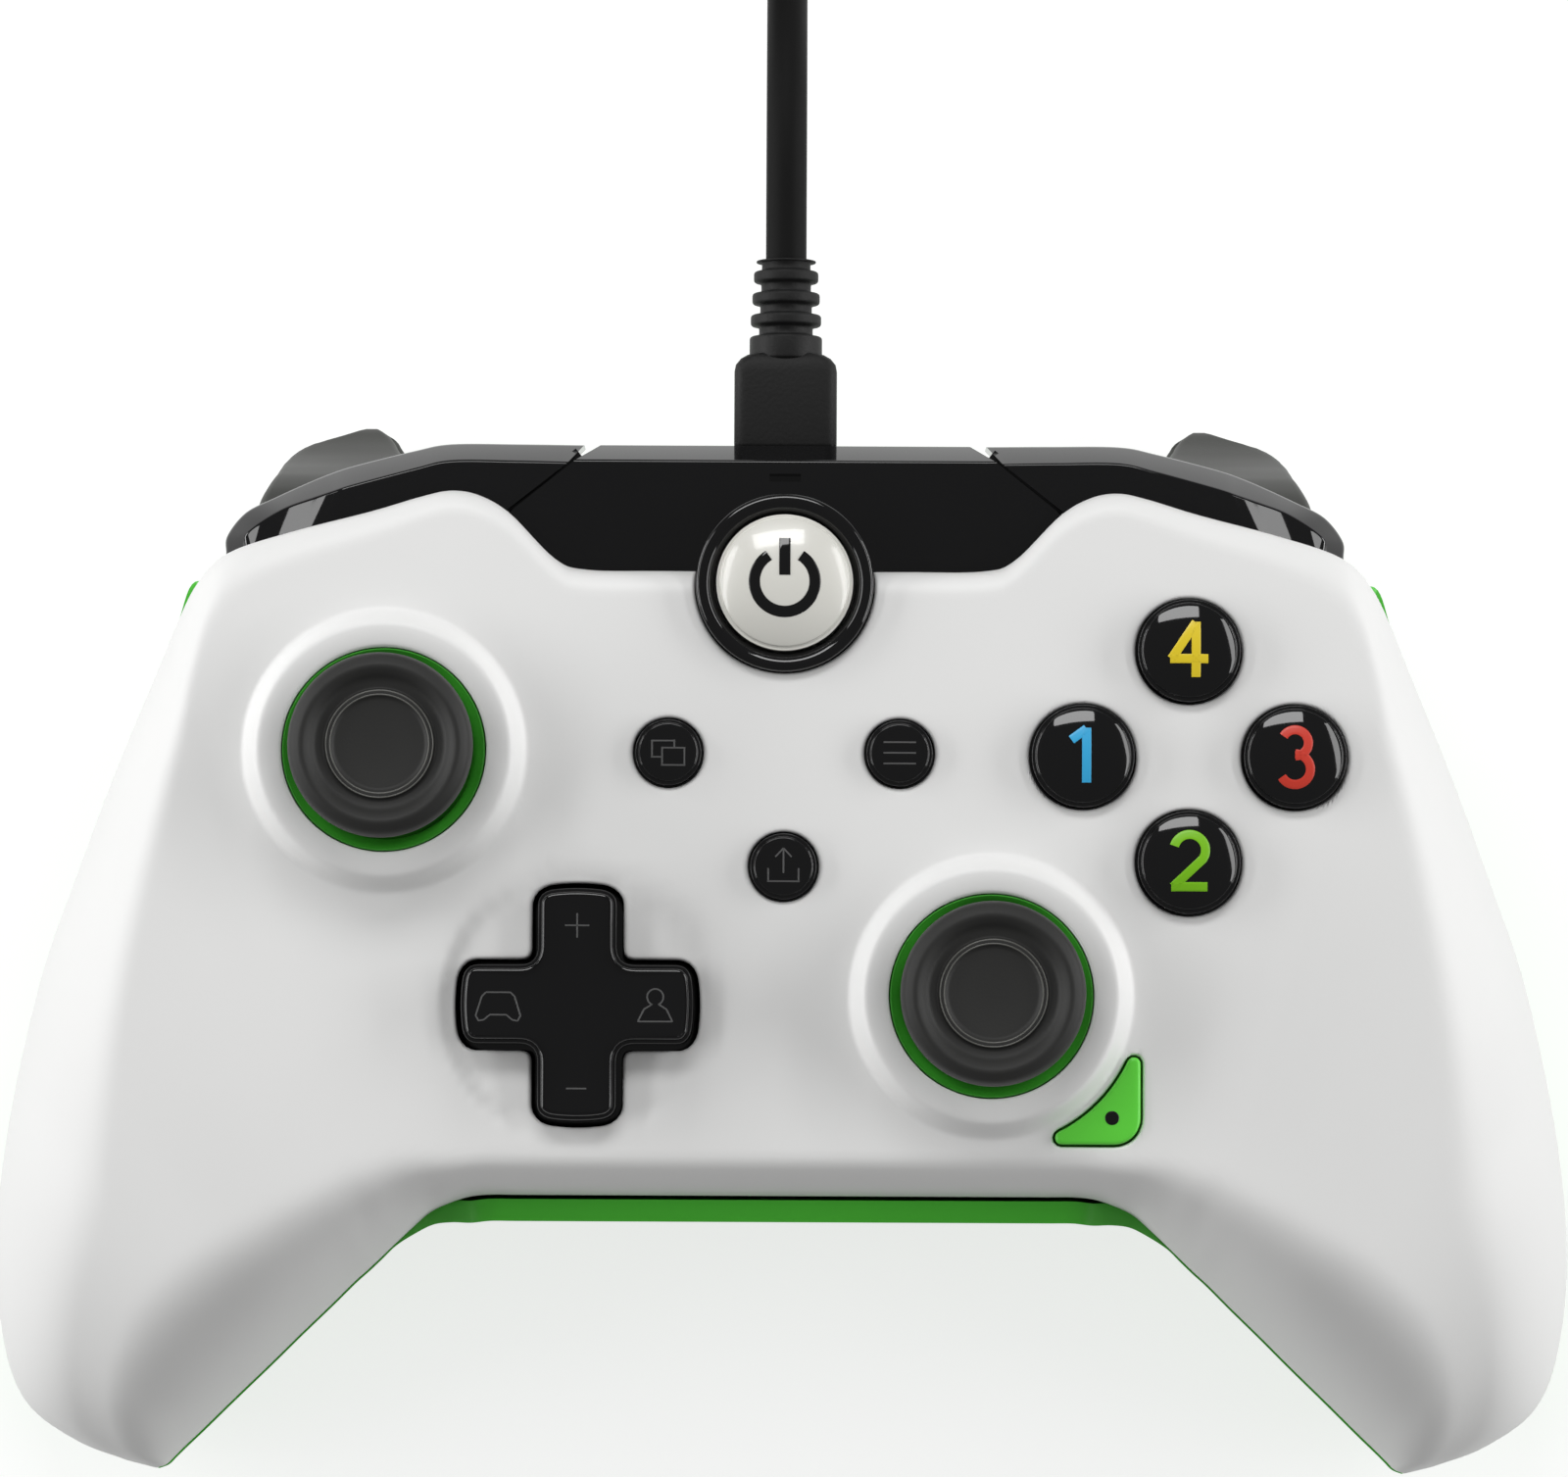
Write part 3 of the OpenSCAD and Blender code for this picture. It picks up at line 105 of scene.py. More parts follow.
# One row per section from the middle to the handle tip: outer edge, inner edge, crown, widths of both rounded edges
FRONT_ROWS = np.array([
    [0, 36.2, 40, 0, -25.5, 33, 43, 2.4, 4],
    [12, 36.2, 40, 12, -25.5, 33, 43, 2.4, 4],
    [19.6, 36.3, 40, 19.6, -25.5, 33, 43, 2.4, 4],
    [22.8, 37.4, 40, 22.5, -25.5, 33, 43, 2.4, 4],
    [27.2, 41.8, 40, 26.5, -25.5, 33, 43, 2.4, 4],
    [30.2, 43.6, 40, 29, -25.5, 33, 43, 2.4, 4],
    [33, 44.1, 40, 31, -25.7, 32.5, 43, 2.4, 4],
    [36, 43.5, 40, 33, -26.3, 31, 43, 2.6, 4.5],
    [41, 42, 40, 35, -27.2, 29, 43, 3, 5.5],
    [49, 39.9, 40, 37, -28.8, 26.8, 43, 3.5, 7],
    [55.2, 37.9, 38.7, 38.8, -30.4, 25, 43, 4.5, 8],
    [58.4, 35.2, 35.5, 40.2, -31.7, 23.8, 43, 6, 9],
    [60.6, 31.5, 32, 41.5, -32.9, 22.8, 42.9, 8, 9.5],
    [62.5, 27.4, 29.3, 43, -34.2, 21.6, 42.8, 10, 10],
    [67.1, 17, 25.6, 45.5, -36.6, 19.8, 42.4, 13, 11],
    [71.3, 6.3, 22.6, 48.6, -39.5, 17.8, 41.4, 15, 12],
    [74.9, -3.6, 20.2, 51.6, -42.4, 16.2, 39.6, 17, 13],
    [78.2, -17.5, 17.2, 55.5, -46.1, 14.6, 36, 18, 13],
    [79.7, -29.9, 15, 58.6, -49.1, 13.6, 31.5, 16, 11],
    [79.1, -39.8, 13.6, 60.6, -51, 13.1, 27.5, 12, 8],
    [76.8, -46.4, 13, 61.6, -52, 13, 23.5, 8, 5.5],
    [71.8, -50.3, 13, 62.4, -52.8, 13, 19.5, 4.5, 3.5],
    [66.6, -52.4, 13, 63.4, -53.2, 13, 13.6, 1, 1],
])
REAR_BACK = np.array([
    [0, 48.4, 22.4], [10, 48.4, 22.4], [16.5, 48.2, 22.4], [20, 46, 22.4], [21.8, 41, 24], [23.6, 37, 30],
    [27, 34.4, 35], [33, 34.2, 35.6], [41, 34.2, 35.6], [49, 34.2, 35.6], [55, 34.2, 35], [58.8, 35.4, 34.6],
])
REAR_KEEL = np.array([
    [-0.4, 9, 9], [-0.4, 9, 9], [-0.4, 8, 9], [-0.4, 7, 9], [-0.2, 6, 9], [0.4, 6, 9], [1, 6, 9], [1.5, 6, 9],
    [2, 6, 10], [2.5, 7, 10], [3, 8, 11], [3.2, 9, 11], [3.4, 10, 11], [3.5, 11, 11], [3.5, 14, 12],
    [2.5, 17, 12], [1, 19, 12], [-0.2, 19, 12], [-0.4, 17, 10], [0.6, 13, 8], [2.8, 9, 5.5], [6, 5, 3.5],
    [12.1, 1, 1],
])
SEAM_GAP = 0.3
REAR_PROUD = 0.2
CHIN_LEDGE = 2.6

# Section of the bridge, outside and inside, as y and height, and its half width along y
BRIDGE_OUTER = [[32.5, 39.3], [47.35, 38.9], [49.3, 34.5], [49.3, 23]]
BRIDGE_INNER = [[32.5, 37.2], [45.95, 36.8], [47.3, 34.1], [47.3, 23]]
BRIDGE_HALF = np.array([
    [30, 25.6], [38.5, 25.6], [41, 26.6], [42, 27.55], [46.85, 21.5], [49.3, 18.4], [50, 18.3],
])
BRIDGE_CORE = 10
BRIDGE_KNEE = 46

# One row per bumper station: back edge, bevel line and front edge in plan, then three heights from the face
BUMPER_ROWS = np.array([
    [20.05, 49.3, 21.6, 47.1, 27.6, 42.3, -3.7, -8.5, -13.5],
    [26.5, 49.36, 27.2, 47.2, 30, 40.5, -3.7, -8.5, -13.5],
    [33.3, 49.34, 33.2, 47.2, 34.5, 40, -3.7, -8.5, -13],
    [37, 48.65, 36.8, 46.4, 38, 39.2, -3.7, -8.5, -12.6],
    [43, 47.15, 42.7, 44.83, 45, 37.5, -3.8, -8.7, -12.3],
    [45.7, 46.25, 45.2, 44.05, 47.8, 36.85, -4.21, -8.8, -12.1],
    [48.1, 45.25, 47.3, 43.4, 49.8, 36.4, -4.79, -8.9, -11.8],
    [50.9, 43.98, 49.8, 42.55, 51.8, 35.95, -5.47, -9.1, -11.2],
    [53.9, 42.45, 52.1, 41.25, 52.9, 35.8, -6.17, -9.25, -10.6],
    [55.75, 40.1, 53.75, 39.9, 53.3, 35.8, -6.53, -9.3, -10.5],
    [55.85, 38.3, 53.9, 38.6, 53.6, 35.8, -7, -9.3, -10.5],
])
# Lip under the seam to the bridge: its ends, the way across the seam towards the bumper, and the slabs it is made of,
# each from one end to another with its top and its near edge
SEAM = np.array([[27.4, 42.13], [22.2, 46.3], [20.2, 47.9]])
SEAM_OUT = np.array([0.626, 0.78])
SEAM_SLABS = ((0, 1, 37.2, 0.2), (0, 1, 36.2, -0.9), (1, 2, 36.2, 0.04))
SEAM_FAR = 1.1
SEAM_LOW = 35.6
# Trigger: its pin, the side view round the pin, and how far in and out it reaches at each y from the pin
TRIGGER_PIVOT = (38.2, 29.0)
PIN_BORE_R = 1.55
TRIGGER_PROFILE = [
    [-2.6, 1.2], [-1.2, 2.5], [0, 2.8], [2, 1.6], [4.6, -1], [7.2, -3], [9, -6], [10.2, -10], [11.2, -14],
    [12.4, -17.6], [14, -20.6], [15.5, -22.6], [15.75, -23.6], [14.7, -24.2], [12.4, -23.8], [9.8, -21.4],
    [7.8, -17.5], [6.4, -13], [4.8, -8.5], [2.3, -5.2], [-1.2, -3.2], [-2.6, -1.6],
]
TRIGGER_INNER = np.array([
    [-6, 36], [6, 36], [8.4, 37.2], [11.4, 38.7], [13.1, 39.6], [14.1, 40.1], [14.95, 40.7], [15.55, 41.5],
    [15.75, 42.6],
])
TRIGGER_OUTER = np.array([
    [-6, 53.2], [5.6, 53.2], [6.8, 52.9], [8.2, 52.35], [9.7, 51.75], [11.3, 51.5], [12.1, 51.1], [12.85, 50.45],
    [13.5, 49.6], [14.15, 48.2], [14.8, 46.3], [15.4, 44.7], [15.75, 43.2],
])

CABLE_FLOOR = 3.05
COIL_AT = (-32.5, 154.0)
COIL_R = 32.5
COIL_PITCH = 4.6
LAYER_TURNS = 3.5
CLIMB_TURNS = 0.5
COIL_TURNS = 15
COIL_EASE = 4.1
LEAD_PATH = [
    [0, 68.4, 28.4], [0, 74, 28.4], [0, 80, 28.4], [0, 86, 27.4], [0, 92, 24.7], [0, 98, 20.6], [0, 104, 15.7],
    [0, 110, 10.8], [0, 116, 6.8], [0, 122, 4.1], [0, 128, 3.05], [0, 134, 3.05], [0, 140, 3.05], [0, 145, 3.05],
]
TAIL_PATH = [
    [-1.6, 169, 16.3], [0.4, 176, 13.6], [4, 183, 9.4], [9.5, 189.5, 5.6], [17, 194, 3.2], [25, 194.5, 2.6],
    [32, 191, 2.5], [37, 184.5, 2.8], [38.5, 176, 3.6], [38.5, 170, 4.2], [38.5, 164, 4.2],
]
# Stations of both plugs: distance along the plug, half width and half height
PLUG_BACK = 49.45
PLUG_STATIONS = (
    (0, 4.95, 3.3), (0.15, 5.1, 3.45), (0.4, 5.15, 3.5), (7.7, 5.15, 3.5), (8.4, 5.02, 3.45), (9, 4.55, 3.3),
    (9.4, 3.9, 3.1), (9.55, 3.4, 2.9),
)
USB_STATIONS = (
    (0, 2.6, 2.4), (0.2, 3.2, 2.9), (0.6, 3.4, 3), (5, 3.8, 3.2), (6, 4.5, 3.5), (7.2, 6.4, 3.85), (8.2, 7.5, 4),
    (9, 7.8, 4), *((d, 7.8 - 0.3 * (k % 2), 4 - 0.3 * (k % 2)) for k, d in enumerate(np.arange(11, 20, 0.9))),
    (20.5, 7.8, 4), (29.4, 7.8, 4), (29.8, 7.65, 3.85), (30, 7.3, 3.5),
)
# Core and outer radius of each rib of the relief
RIBS = ((2.7, 3.55), (2.6, 3.4), (2.5, 3.25), (2.45, 3))

# In metres: what the camera looks at, half the floor, its drop, and each lamp's place, size and share of the key light
TARGET = Vector((0, 0.0203, 0.03))
FLOOR_HALF = 1.5
FLOOR_DROP = 0.0003
LAMPS = {
    "north_box": ((-0.045, 0.418, 0.45), (0.4, 0.125), 0.24),
    "east_strip": ((0.335, 0.09, 0.31), (0.4, 0.05), 0.07),
    "west_strip": ((-0.335, 0.09, 0.31), (0.4, 0.05), 0.07),
    "east_low": ((0.95, 0.12, 0.28), (1.0, 0.2), 1.12),
    "west_low": ((-0.95, 0.12, 0.28), (1.0, 0.2), 1.15),
}


def tone(red, green, blue):
    """Linear colour of an sRGB one given from 0 to 255."""
    c = np.array([red, green, blue]) / 255
    return tuple(float(v) for v in np.where(c <= 0.04045, c / 12.92, ((c + 0.055) / 1.055) ** 2.4))


# Curves


def table_at(table, place):
    """Rows of a table at fractional places: each span is a cubic whose end slopes are half the step across both
    neighbouring rows, with the table carried on in a straight line past its ends."""
    padded = np.vstack([2 * table[0] - table[1], table, 2 * table[-1] - table[-2]])
    place = np.clip(np.asarray(place, float), 0, len(table) - 1)
    k = np.minimum(place.astype(int), len(table) - 2)
    t = (place - k)[:, None]
    before, here, there, after = (padded[k + i] for i in range(4))
    leave, arrive = (there - before) / 2, (after - here) / 2
    return (
        (2 * t**3 - 3 * t**2 + 1) * here
        + (t**3 - 2 * t**2 + t) * leave
        + (3 * t**2 - 2 * t**3) * there
        + (t**3 - t**2) * arrive
    )


def rounded(points, radius, steps, closed=False):
    """Outline, or stack of outlines, whose corners are eased by a quadratic curve that starts and ends radius away
    from the corner, or at 0.45 of the shorter side if that is less."""
    p = np.asarray(points, float)
    back, ahead = np.roll(p, 1, -2) - p, np.roll(p, -1, -2) - p
    back_l = np.maximum(np.linalg.norm(back, axis=-1), 1e-9)
    ahead_l = np.maximum(np.linalg.norm(ahead, axis=-1), 1e-9)
    cut = np.minimum(np.broadcast_to(radius, back_l.shape), 0.45 * np.minimum(back_l, ahead_l)).copy()
    if not closed:
        cut[..., 0] = cut[..., -1] = 0
    start = (p + back * (cut / back_l)[..., None])[..., :, None, :]
    end = (p + ahead * (cut / ahead_l)[..., None])[..., :, None, :]
    t = np.linspace(0, 1, steps + 1)[:, None]
    curve = (1 - t) ** 2 * start + 2 * t * (1 - t) * p[..., :, None, :] + t**2 * end
    curve = curve.reshape(*p.shape[:-2], -1, p.shape[-1])
    return curve if closed else curve[..., steps : curve.shape[-2] - steps, :]


def unit(vectors):
    """Vectors, one per row, brought to length one."""
    return vectors / np.linalg.norm(vectors, axis=-1, keepdims=True)


def way_along(points):
    """Length along an outline to each of its points."""
    return np.concatenate([[0], np.cumsum(np.linalg.norm(np.diff(points, axis=0), axis=1))])


def evenly(points, step, closed=False):
    """Points a step apart along an outline, by straight interpolation over its length."""
    p = np.asarray(points, float)
    p = np.vstack([p, p[:1]]) if closed else p
    along = way_along(p)
    count = max(3, int(round(along[-1] / step)))
    at = np.linspace(0, along[-1], count, endpoint=False) if closed else np.linspace(0, along[-1], count + 1)
    return np.stack([np.interp(at, along, p[:, k]) for k in range(p.shape[1])], 1)


def grown(loop, distance):
    """Closed plan loop, running anticlockwise, moved out along its normals."""
    run = unit(np.roll(loop, -1, 0) - np.roll(loop, 1, 0))
    return loop + distance * np.stack([run[:, 1], -run[:, 0]], 1)


def loop_stack(loop, steps):
    """Closed plan loop moved out and lifted: each step is a distance out and a height."""
    return np.array([np.column_stack([grown(loop, out), np.full(len(loop), z)]) for out, z in steps])


def arc(centre, radius, start, end, steps=24):
    """Plan points on a circle from one angle to another, in degrees."""
    q = np.radians(np.linspace(start, end, steps + 1))
    return np.stack([centre[0] + radius * np.cos(q), centre[1] + radius * np.sin(q)], 1)


def inside(points, loop):
    """True for each plan point inside a closed loop, by counting the loop's sides to the right of it."""
    x, y = points[:, :1], points[:, 1:]
    ax, ay = loop[:, 0], loop[:, 1]
    bx, by = np.roll(ax, -1), np.roll(ay, -1)
    spans = (ay > y) != (by > y)
    rise = np.where(by == ay, 1e-12, by - ay)
    return (spans & (x < ax + (y - ay) * (bx - ax) / rise)).sum(1) % 2 == 1


def cross_loop():
    """Outline of the direction pad: a plus with eased inner corners and ends that curve by the square of the
    distance from their middle."""
    h, a = PAD_LENGTH / 2, PAD_ARM / 2
    corners = [
        [h, -a], [h, a], [a, a], [a, h], [-a, h], [-a, a], [-h, a], [-h, -a], [-a, -a], [-a, -h], [a, -h], [a, -a],
    ]
    loop = evenly(rounded(corners, np.array([1.5, 1.5, 1.8] * 4), 8, True), 0.45, True)
    far = np.clip((np.abs(loop) - h + 2) / 2, 0, 1)
    return loop - np.sign(loop) * far * 0.4 * (loop[:, ::-1] / a) ** 2 + np.array(PAD_AT)


def function_loop():
    """Outline of the function button: a corner with three eased tips, hollowed by a circle about the right stick."""
    stick = np.array(STICKS["right"])
    right, low, tip, corner, hollow = 35.2, -20.4, 0.65, 2.6, 14.85
    reach = hollow + tip
    first = np.array([stick[0] + math.sqrt(reach**2 - (low + tip - stick[1]) ** 2), low + tip])
    second = np.array([right - tip, stick[1] - math.sqrt(reach**2 - (right - tip - stick[0]) ** 2)])
    turn = [math.degrees(math.atan2(*(p - stick)[::-1])) for p in (first, second)]
    outline = np.vstack([
        arc(first, tip, turn[0] + 180, 270, 12),
        arc((right - corner, low + corner), corner, -90, 0, 12),
        arc(second, tip, 0, turn[1] + 180, 12),
        arc(stick, hollow, turn[1], turn[0], 24),
    ])
    return evenly(outline, 0.35, True)


# Meshes


class Shape:
    """Points, faces and face materials of one piece, gathered from several surfaces."""

    def __init__(self):
        self.points, self.faces, self.paint, self.count = [], [], [], 0

    def add(self, points, faces, paint=0):
        """Takes points and an array of faces that count from the first of them."""
        points = np.asarray(points, float).reshape(-1, 3)
        self.faces += (np.asarray(faces) + self.count).tolist()
        self.paint += [paint] * len(faces)
        self.points.append(points)
        self.count += len(points)

    def grid(self, points, paint=0):
        """Quads over points (rows, columns, 3), with the last column joined to the first."""
        rows, cols = points.shape[:2]
        k = np.arange(rows * cols).reshape(rows, cols)
        k = np.hstack([k, k[:, :1]])
        self.add(points, np.stack([k[:-1, :-1], k[1:, :-1], k[1:, 1:], k[:-1, 1:]], -1).reshape(-1, 4), paint)

    def loft(self, loops, paint=0):
        """Solid through closed loops (loops, points, 3), capped at both ends."""
        self.grid(loops, paint)
        for loop in (loops[0, ::-1], loops[-1]):
            self.add(loop, np.arange(len(loop))[None], paint)

    def turned(self, outline, centre, parts=96, along_y=False, paint=0):
        """Outline (radius, height) carried round an upright axis at a plan point, or an axis along Y at (x, z)."""
        outline = np.asarray(outline, float)
        q = np.linspace(0, 2 * np.pi, parts, endpoint=False)
        one = centre[0] + outline[:, :1] * np.cos(q)
        two = centre[1] + outline[:, :1] * np.sin(q)
        high = np.broadcast_to(outline[:, 1:], one.shape)
        self.grid(np.stack([one, high, two] if along_y else [one, two, high], -1), paint)

    def stroke(self, path, width, surface, lift):
        """Raised bar along a plan path, in the second material: its section is sunk into the surface, rises to lift
        and is eased."""
        sink = -0.2
        p = evenly(path, 0.12)
        run = unit(np.gradient(p, axis=0))
        side = np.stack([-run[:, 1], run[:, 0]], 1)
        across = width * np.array([-0.5, -0.5, -0.42, -0.2, 0.2, 0.42, 0.5, 0.5])
        up = np.array([sink, 0.5 * lift, lift, lift, lift, lift, 0.5 * lift, sink])
        plan = p[:, None] + side[:, None] * across[:, None]
        self.loft(np.dstack([plan, surface(plan[..., 0], plan[..., 1]) + up]), 1)

    def mesh(self, name, sharp=SHARP):
        """Welded mesh in metres, shaded smooth except along edges that turn by more than sharp degrees."""
        mesh = bpy.data.meshes.new(name)
        mesh.from_pydata((np.vstack(self.points) * MM).tolist(), [], self.faces)
        mesh.polygons.foreach_set("material_index", self.paint)
        bm = bmesh.new()
        bm.from_mesh(mesh)
        bmesh.ops.remove_doubles(bm, verts=bm.verts, dist=2e-7)
        bmesh.ops.dissolve_degenerate(bm, dist=1e-7, edges=bm.edges)
        bmesh.ops.recalc_face_normals(bm, faces=bm.faces)
        bm.to_mesh(mesh)
        bm.free()
        mesh.shade_smooth()
        mesh.set_sharp_from_angle(angle=math.radians(sharp))
        return mesh


def box_mesh(low, high):
    """Box between two corners, as a tool for cutting."""
    x, y = [low[0], high[0], high[0], low[0]], [low[1], low[1], high[1], high[1]]
    shape = Shape()
    shape.loft(np.array([np.stack([x, y, [z] * 4], 1) for z in (low[2], high[2])], float))
    return shape.mesh("cutter")


def bore_mesh(low, high, radius, axis=0):
    """Round bar along an axis between two points, as a tool for cutting."""
    q = np.linspace(0, 2 * np.pi, 48, endpoint=False)
    ring = np.insert(radius * np.stack([np.cos(q), np.sin(q)], 1), axis, 0, axis=1)
    shape = Shape()
    shape.loft(np.array([ring + end for end in (low, high)]))
    return shape.mesh("cutter")


def cut(mesh, tools):
    """The mesh with the tools taken out of it by exact booleans."""
    objects = [bpy.data.objects.new("cut", m) for m in [mesh, *tools]]
    for obj in objects:
        bpy.context.scene.collection.objects.link(obj)
    for tool in objects[1:]:
        step = objects[0].modifiers.new("cut", "BOOLEAN")
        step.operation, step.solver, step.object = "DIFFERENCE", "EXACT", tool
    done = bpy.data.meshes.new_from_object(objects[0].evaluated_get(bpy.context.evaluated_depsgraph_get()))
    for obj in objects:
        bpy.data.objects.remove(obj)
    done.name = mesh.name
    done.shade_smooth()
    done.set_sharp_from_angle(angle=math.radians(SHARP))
    return done


def put(mesh, name, materials, body, nodes):
    """Object for a mesh: it takes the materials, rides on a body and stands for CAD nodes."""
    obj = bpy.data.objects.new(name, mesh)
    bpy.context.scene.collection.objects.link(obj)
    for material in materials:
        mesh.materials.append(material)
    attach(obj, body)
    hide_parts(*nodes)
    return obj


def dress(name, material):
    """CAD node that is seen as it is, given a finish."""
    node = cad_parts[name]
    node.data.materials.clear()
    node.data.materials.append(material)
    return node


# Materials


def shader_node(tree, kind, **inputs):
    """New shader node with values for some of its inputs, whose names have underscores for spaces."""
    node = tree.nodes.new("ShaderNode" + kind)
    for name, value in inputs.items():
        node.inputs[name.replace("_", " ")].default_value = value
    return node


def finish(
    name, colour, roughness, grain, depth, spread=0.05, metallic=0.0, coat=0.0, streak=(1, 1, 1), shine=0.5
):
    """Moulded or drawn finish: broad noise shifts the colour and roughness by the spread, fine noise with features
    of the grain's size, stretched by the streak, lifts the surface by the depth. The frame brings plain materials
    under the slot names, so these names are set apart."""
    name = "finish_" + name
    material = bpy.data.materials.get(name)
    if material:
        return material
    material = bpy.data.materials.new(name)
    material.use_nodes = True
    tree = material.node_tree
    shader = tree.nodes["Principled BSDF"]
    spot = shader_node(tree, "TexCoord")
    stretch = shader_node(tree, "Mapping", Scale=streak)
    cloud = shader_node(tree, "TexNoise", Scale=45, Detail=4)
    fine = shader_node(tree, "TexNoise", Scale=1 / grain, Detail=3)
    shade = shader_node(tree, "Mix")
    shade.data_type = "RGBA"
    shade.inputs["A"].default_value = (*(c * (1 - spread) for c in colour), 1)
    shade.inputs["B"].default_value = (*(min(1, c * (1 + spread)) for c in colour), 1)
    swing = 2 * spread
    gloss = shader_node(tree, "MapRange", To_Min=roughness * (1 - swing), To_Max=roughness * (1 + swing))
    bump = shader_node(tree, "Bump", Strength=0.5, Distance=depth)
    for key, value in (
        ("Metallic", metallic), ("Specular IOR Level", shine), ("Coat Weight", coat), ("Coat Roughness", 0.05)
    ):
        shader.inputs[key].default_value = value
    for start, end in (
        (spot.outputs["Object"], stretch.inputs["Vector"]),
        (spot.outputs["Object"], cloud.inputs["Vector"]),
        (stretch.outputs["Vector"], fine.inputs["Vector"]),
        (cloud.outputs["Fac"], shade.inputs["Factor"]),
        (cloud.outputs["Fac"], gloss.inputs["Value"]),
        (fine.outputs["Fac"], bump.inputs["Height"]),
        (shade.outputs["Result"], shader.inputs["Base Color"]),
        (gloss.outputs["Result"], shader.inputs["Roughness"]),
        (bump.outputs["Normal"], shader.inputs["Normal"]),
    ):
        tree.links.new(start, end)
    return material


def white_plastic(context):
    return finish("white_shell", context.scene.gamepad_shell.front_colour, 0.5, 0.0005, 0.000012, 0.015)


def green_plastic(context):
    return finish("green_shell", context.scene.gamepad_shell.rear_colour, 0.42, 0.0005, 0.000015, 0.04)


def gloss_black(context):
    return finish("black_gloss", context.scene.gamepad_shell.gloss_colour, 0.05, 0.003, 0.000003, 0.08)


def grey_rubber(context):
    controls = context.scene.gamepad_controls
    return finish("grey_rubber", controls.cap_colour, 0.55, 0.0003, 0.00002, 0.06, shine=0.3)


def black_moulding(context):
    cable = context.scene.gamepad_cable
    return finish("black_matte", cable.moulding_colour, 0.55, 0.0004, 0.00008, 0.25, shine=0.28)


# Painted highlight: the raised marks are real, and their grey stands in for the glints on their edges
def mark_glint_grey():
    return finish("mark_glint_grey", tone(86, 86, 86), 0.3, 0.001, 0.000004, 0.05)


def steel():
    return finish("steel", tone(190, 192, 196), 0.28, 0.0008, 0.000004, 0.06, metallic=1.0, streak=(0.15, 1, 1))


# Shells


def both_sides(rows):
    """Rows from the left handle tip to the right one."""
    flip = np.ones(rows.shape[1])
    flip[[0, 3]] = -1
    return np.vstack([rows[:0:-1] * flip, rows])


def rear_rows():
    """Section rows of the rear shell: its outer edge runs behind the triggers, then just outside the front shell's,
    and its inner edge makes a ledge under the chin that fades out along the handles."""
    rows = FRONT_ROWS.copy()
    a, b = FRONT_ROWS[:, :2], FRONT_ROWS[:, 3:5]
    inward = unit(b - a)
    ledge = np.maximum(REAR_PROUD, CHIN_LEDGE * np.minimum(1, (10 - np.arange(len(rows))) / 4))
    rows[:, :2] = a - REAR_PROUD * inward
    rows[:, 3:5] = b + ledge[:, None] * inward
    rows[:, [2, 5]] -= SEAM_GAP
    rows[: len(REAR_BACK), :3] = REAR_BACK
    rows[:, 6:] = REAR_KEEL
    return rows


def sheet_points(table, place, share):
    """Points of a shell at a place along the rows and a share of the way across: the height rises from the outer
    edge along a quarter ellipse, runs level at the crown, and falls along another to the inner edge."""
    row = table_at(table, place)
    a, b, crown = row[:, :3], row[:, 3:6], row[:, 6]
    run = np.linalg.norm(b[:, :2] - a[:, :2], axis=1)
    d = share * run
    wide_a, wide_b = (np.maximum(np.minimum(row[:, k], 0.45 * run), 1e-6) for k in (7, 8))
    up_a = np.sqrt(1 - (1 - np.clip(d / wide_a, 0, 1)) ** 2)
    up_b = np.sqrt(1 - (1 - np.clip((run - d) / wide_b, 0, 1)) ** 2)
    z = np.where(d < wide_a, a[:, 2] + (crown - a[:, 2]) * up_a, b[:, 2] + (crown - b[:, 2]) * up_b)
    return np.column_stack([a[:, :2] + (b - a)[:, :2] * share[:, None], z])


def sheet_place(table, plan):
    """Place and share of plan points on a shell: the place is where the row through the point changes side, found
    by halving, and the share is the point's way along that row."""
    low, high = np.zeros(len(plan)), np.full(len(plan), len(table) - 1.0)
    for _ in range(40):
        mid = (low + high) / 2
        row = table_at(table, mid)
        along, to = row[:, 3:5] - row[:, :2], plan - row[:, :2]
        right = along[:, 0] * to[:, 1] - along[:, 1] * to[:, 0] > 0
        low, high = np.where(right, mid, low), np.where(right, high, mid)
    return low, np.clip((to * along).sum(1) / (along**2).sum(1), 0, 1)


def sheet_normals(table, place, share):
    """Unit normals of a shell, from the cross product of small steps along and across it."""
    last, step = len(table) - 1, 1e-3
    share = np.clip(share, 0.004, 0.996)
    along = sheet_points(table, np.minimum(place + step, last), share) - sheet_points(
        table, np.maximum(place - step, 0), share
    )
    across = sheet_points(table, place, share + step) - sheet_points(table, place, share - step)
    n = np.cross(across, along)
    return n / np.maximum(np.linalg.norm(n, axis=1), 1e-12)[:, None]


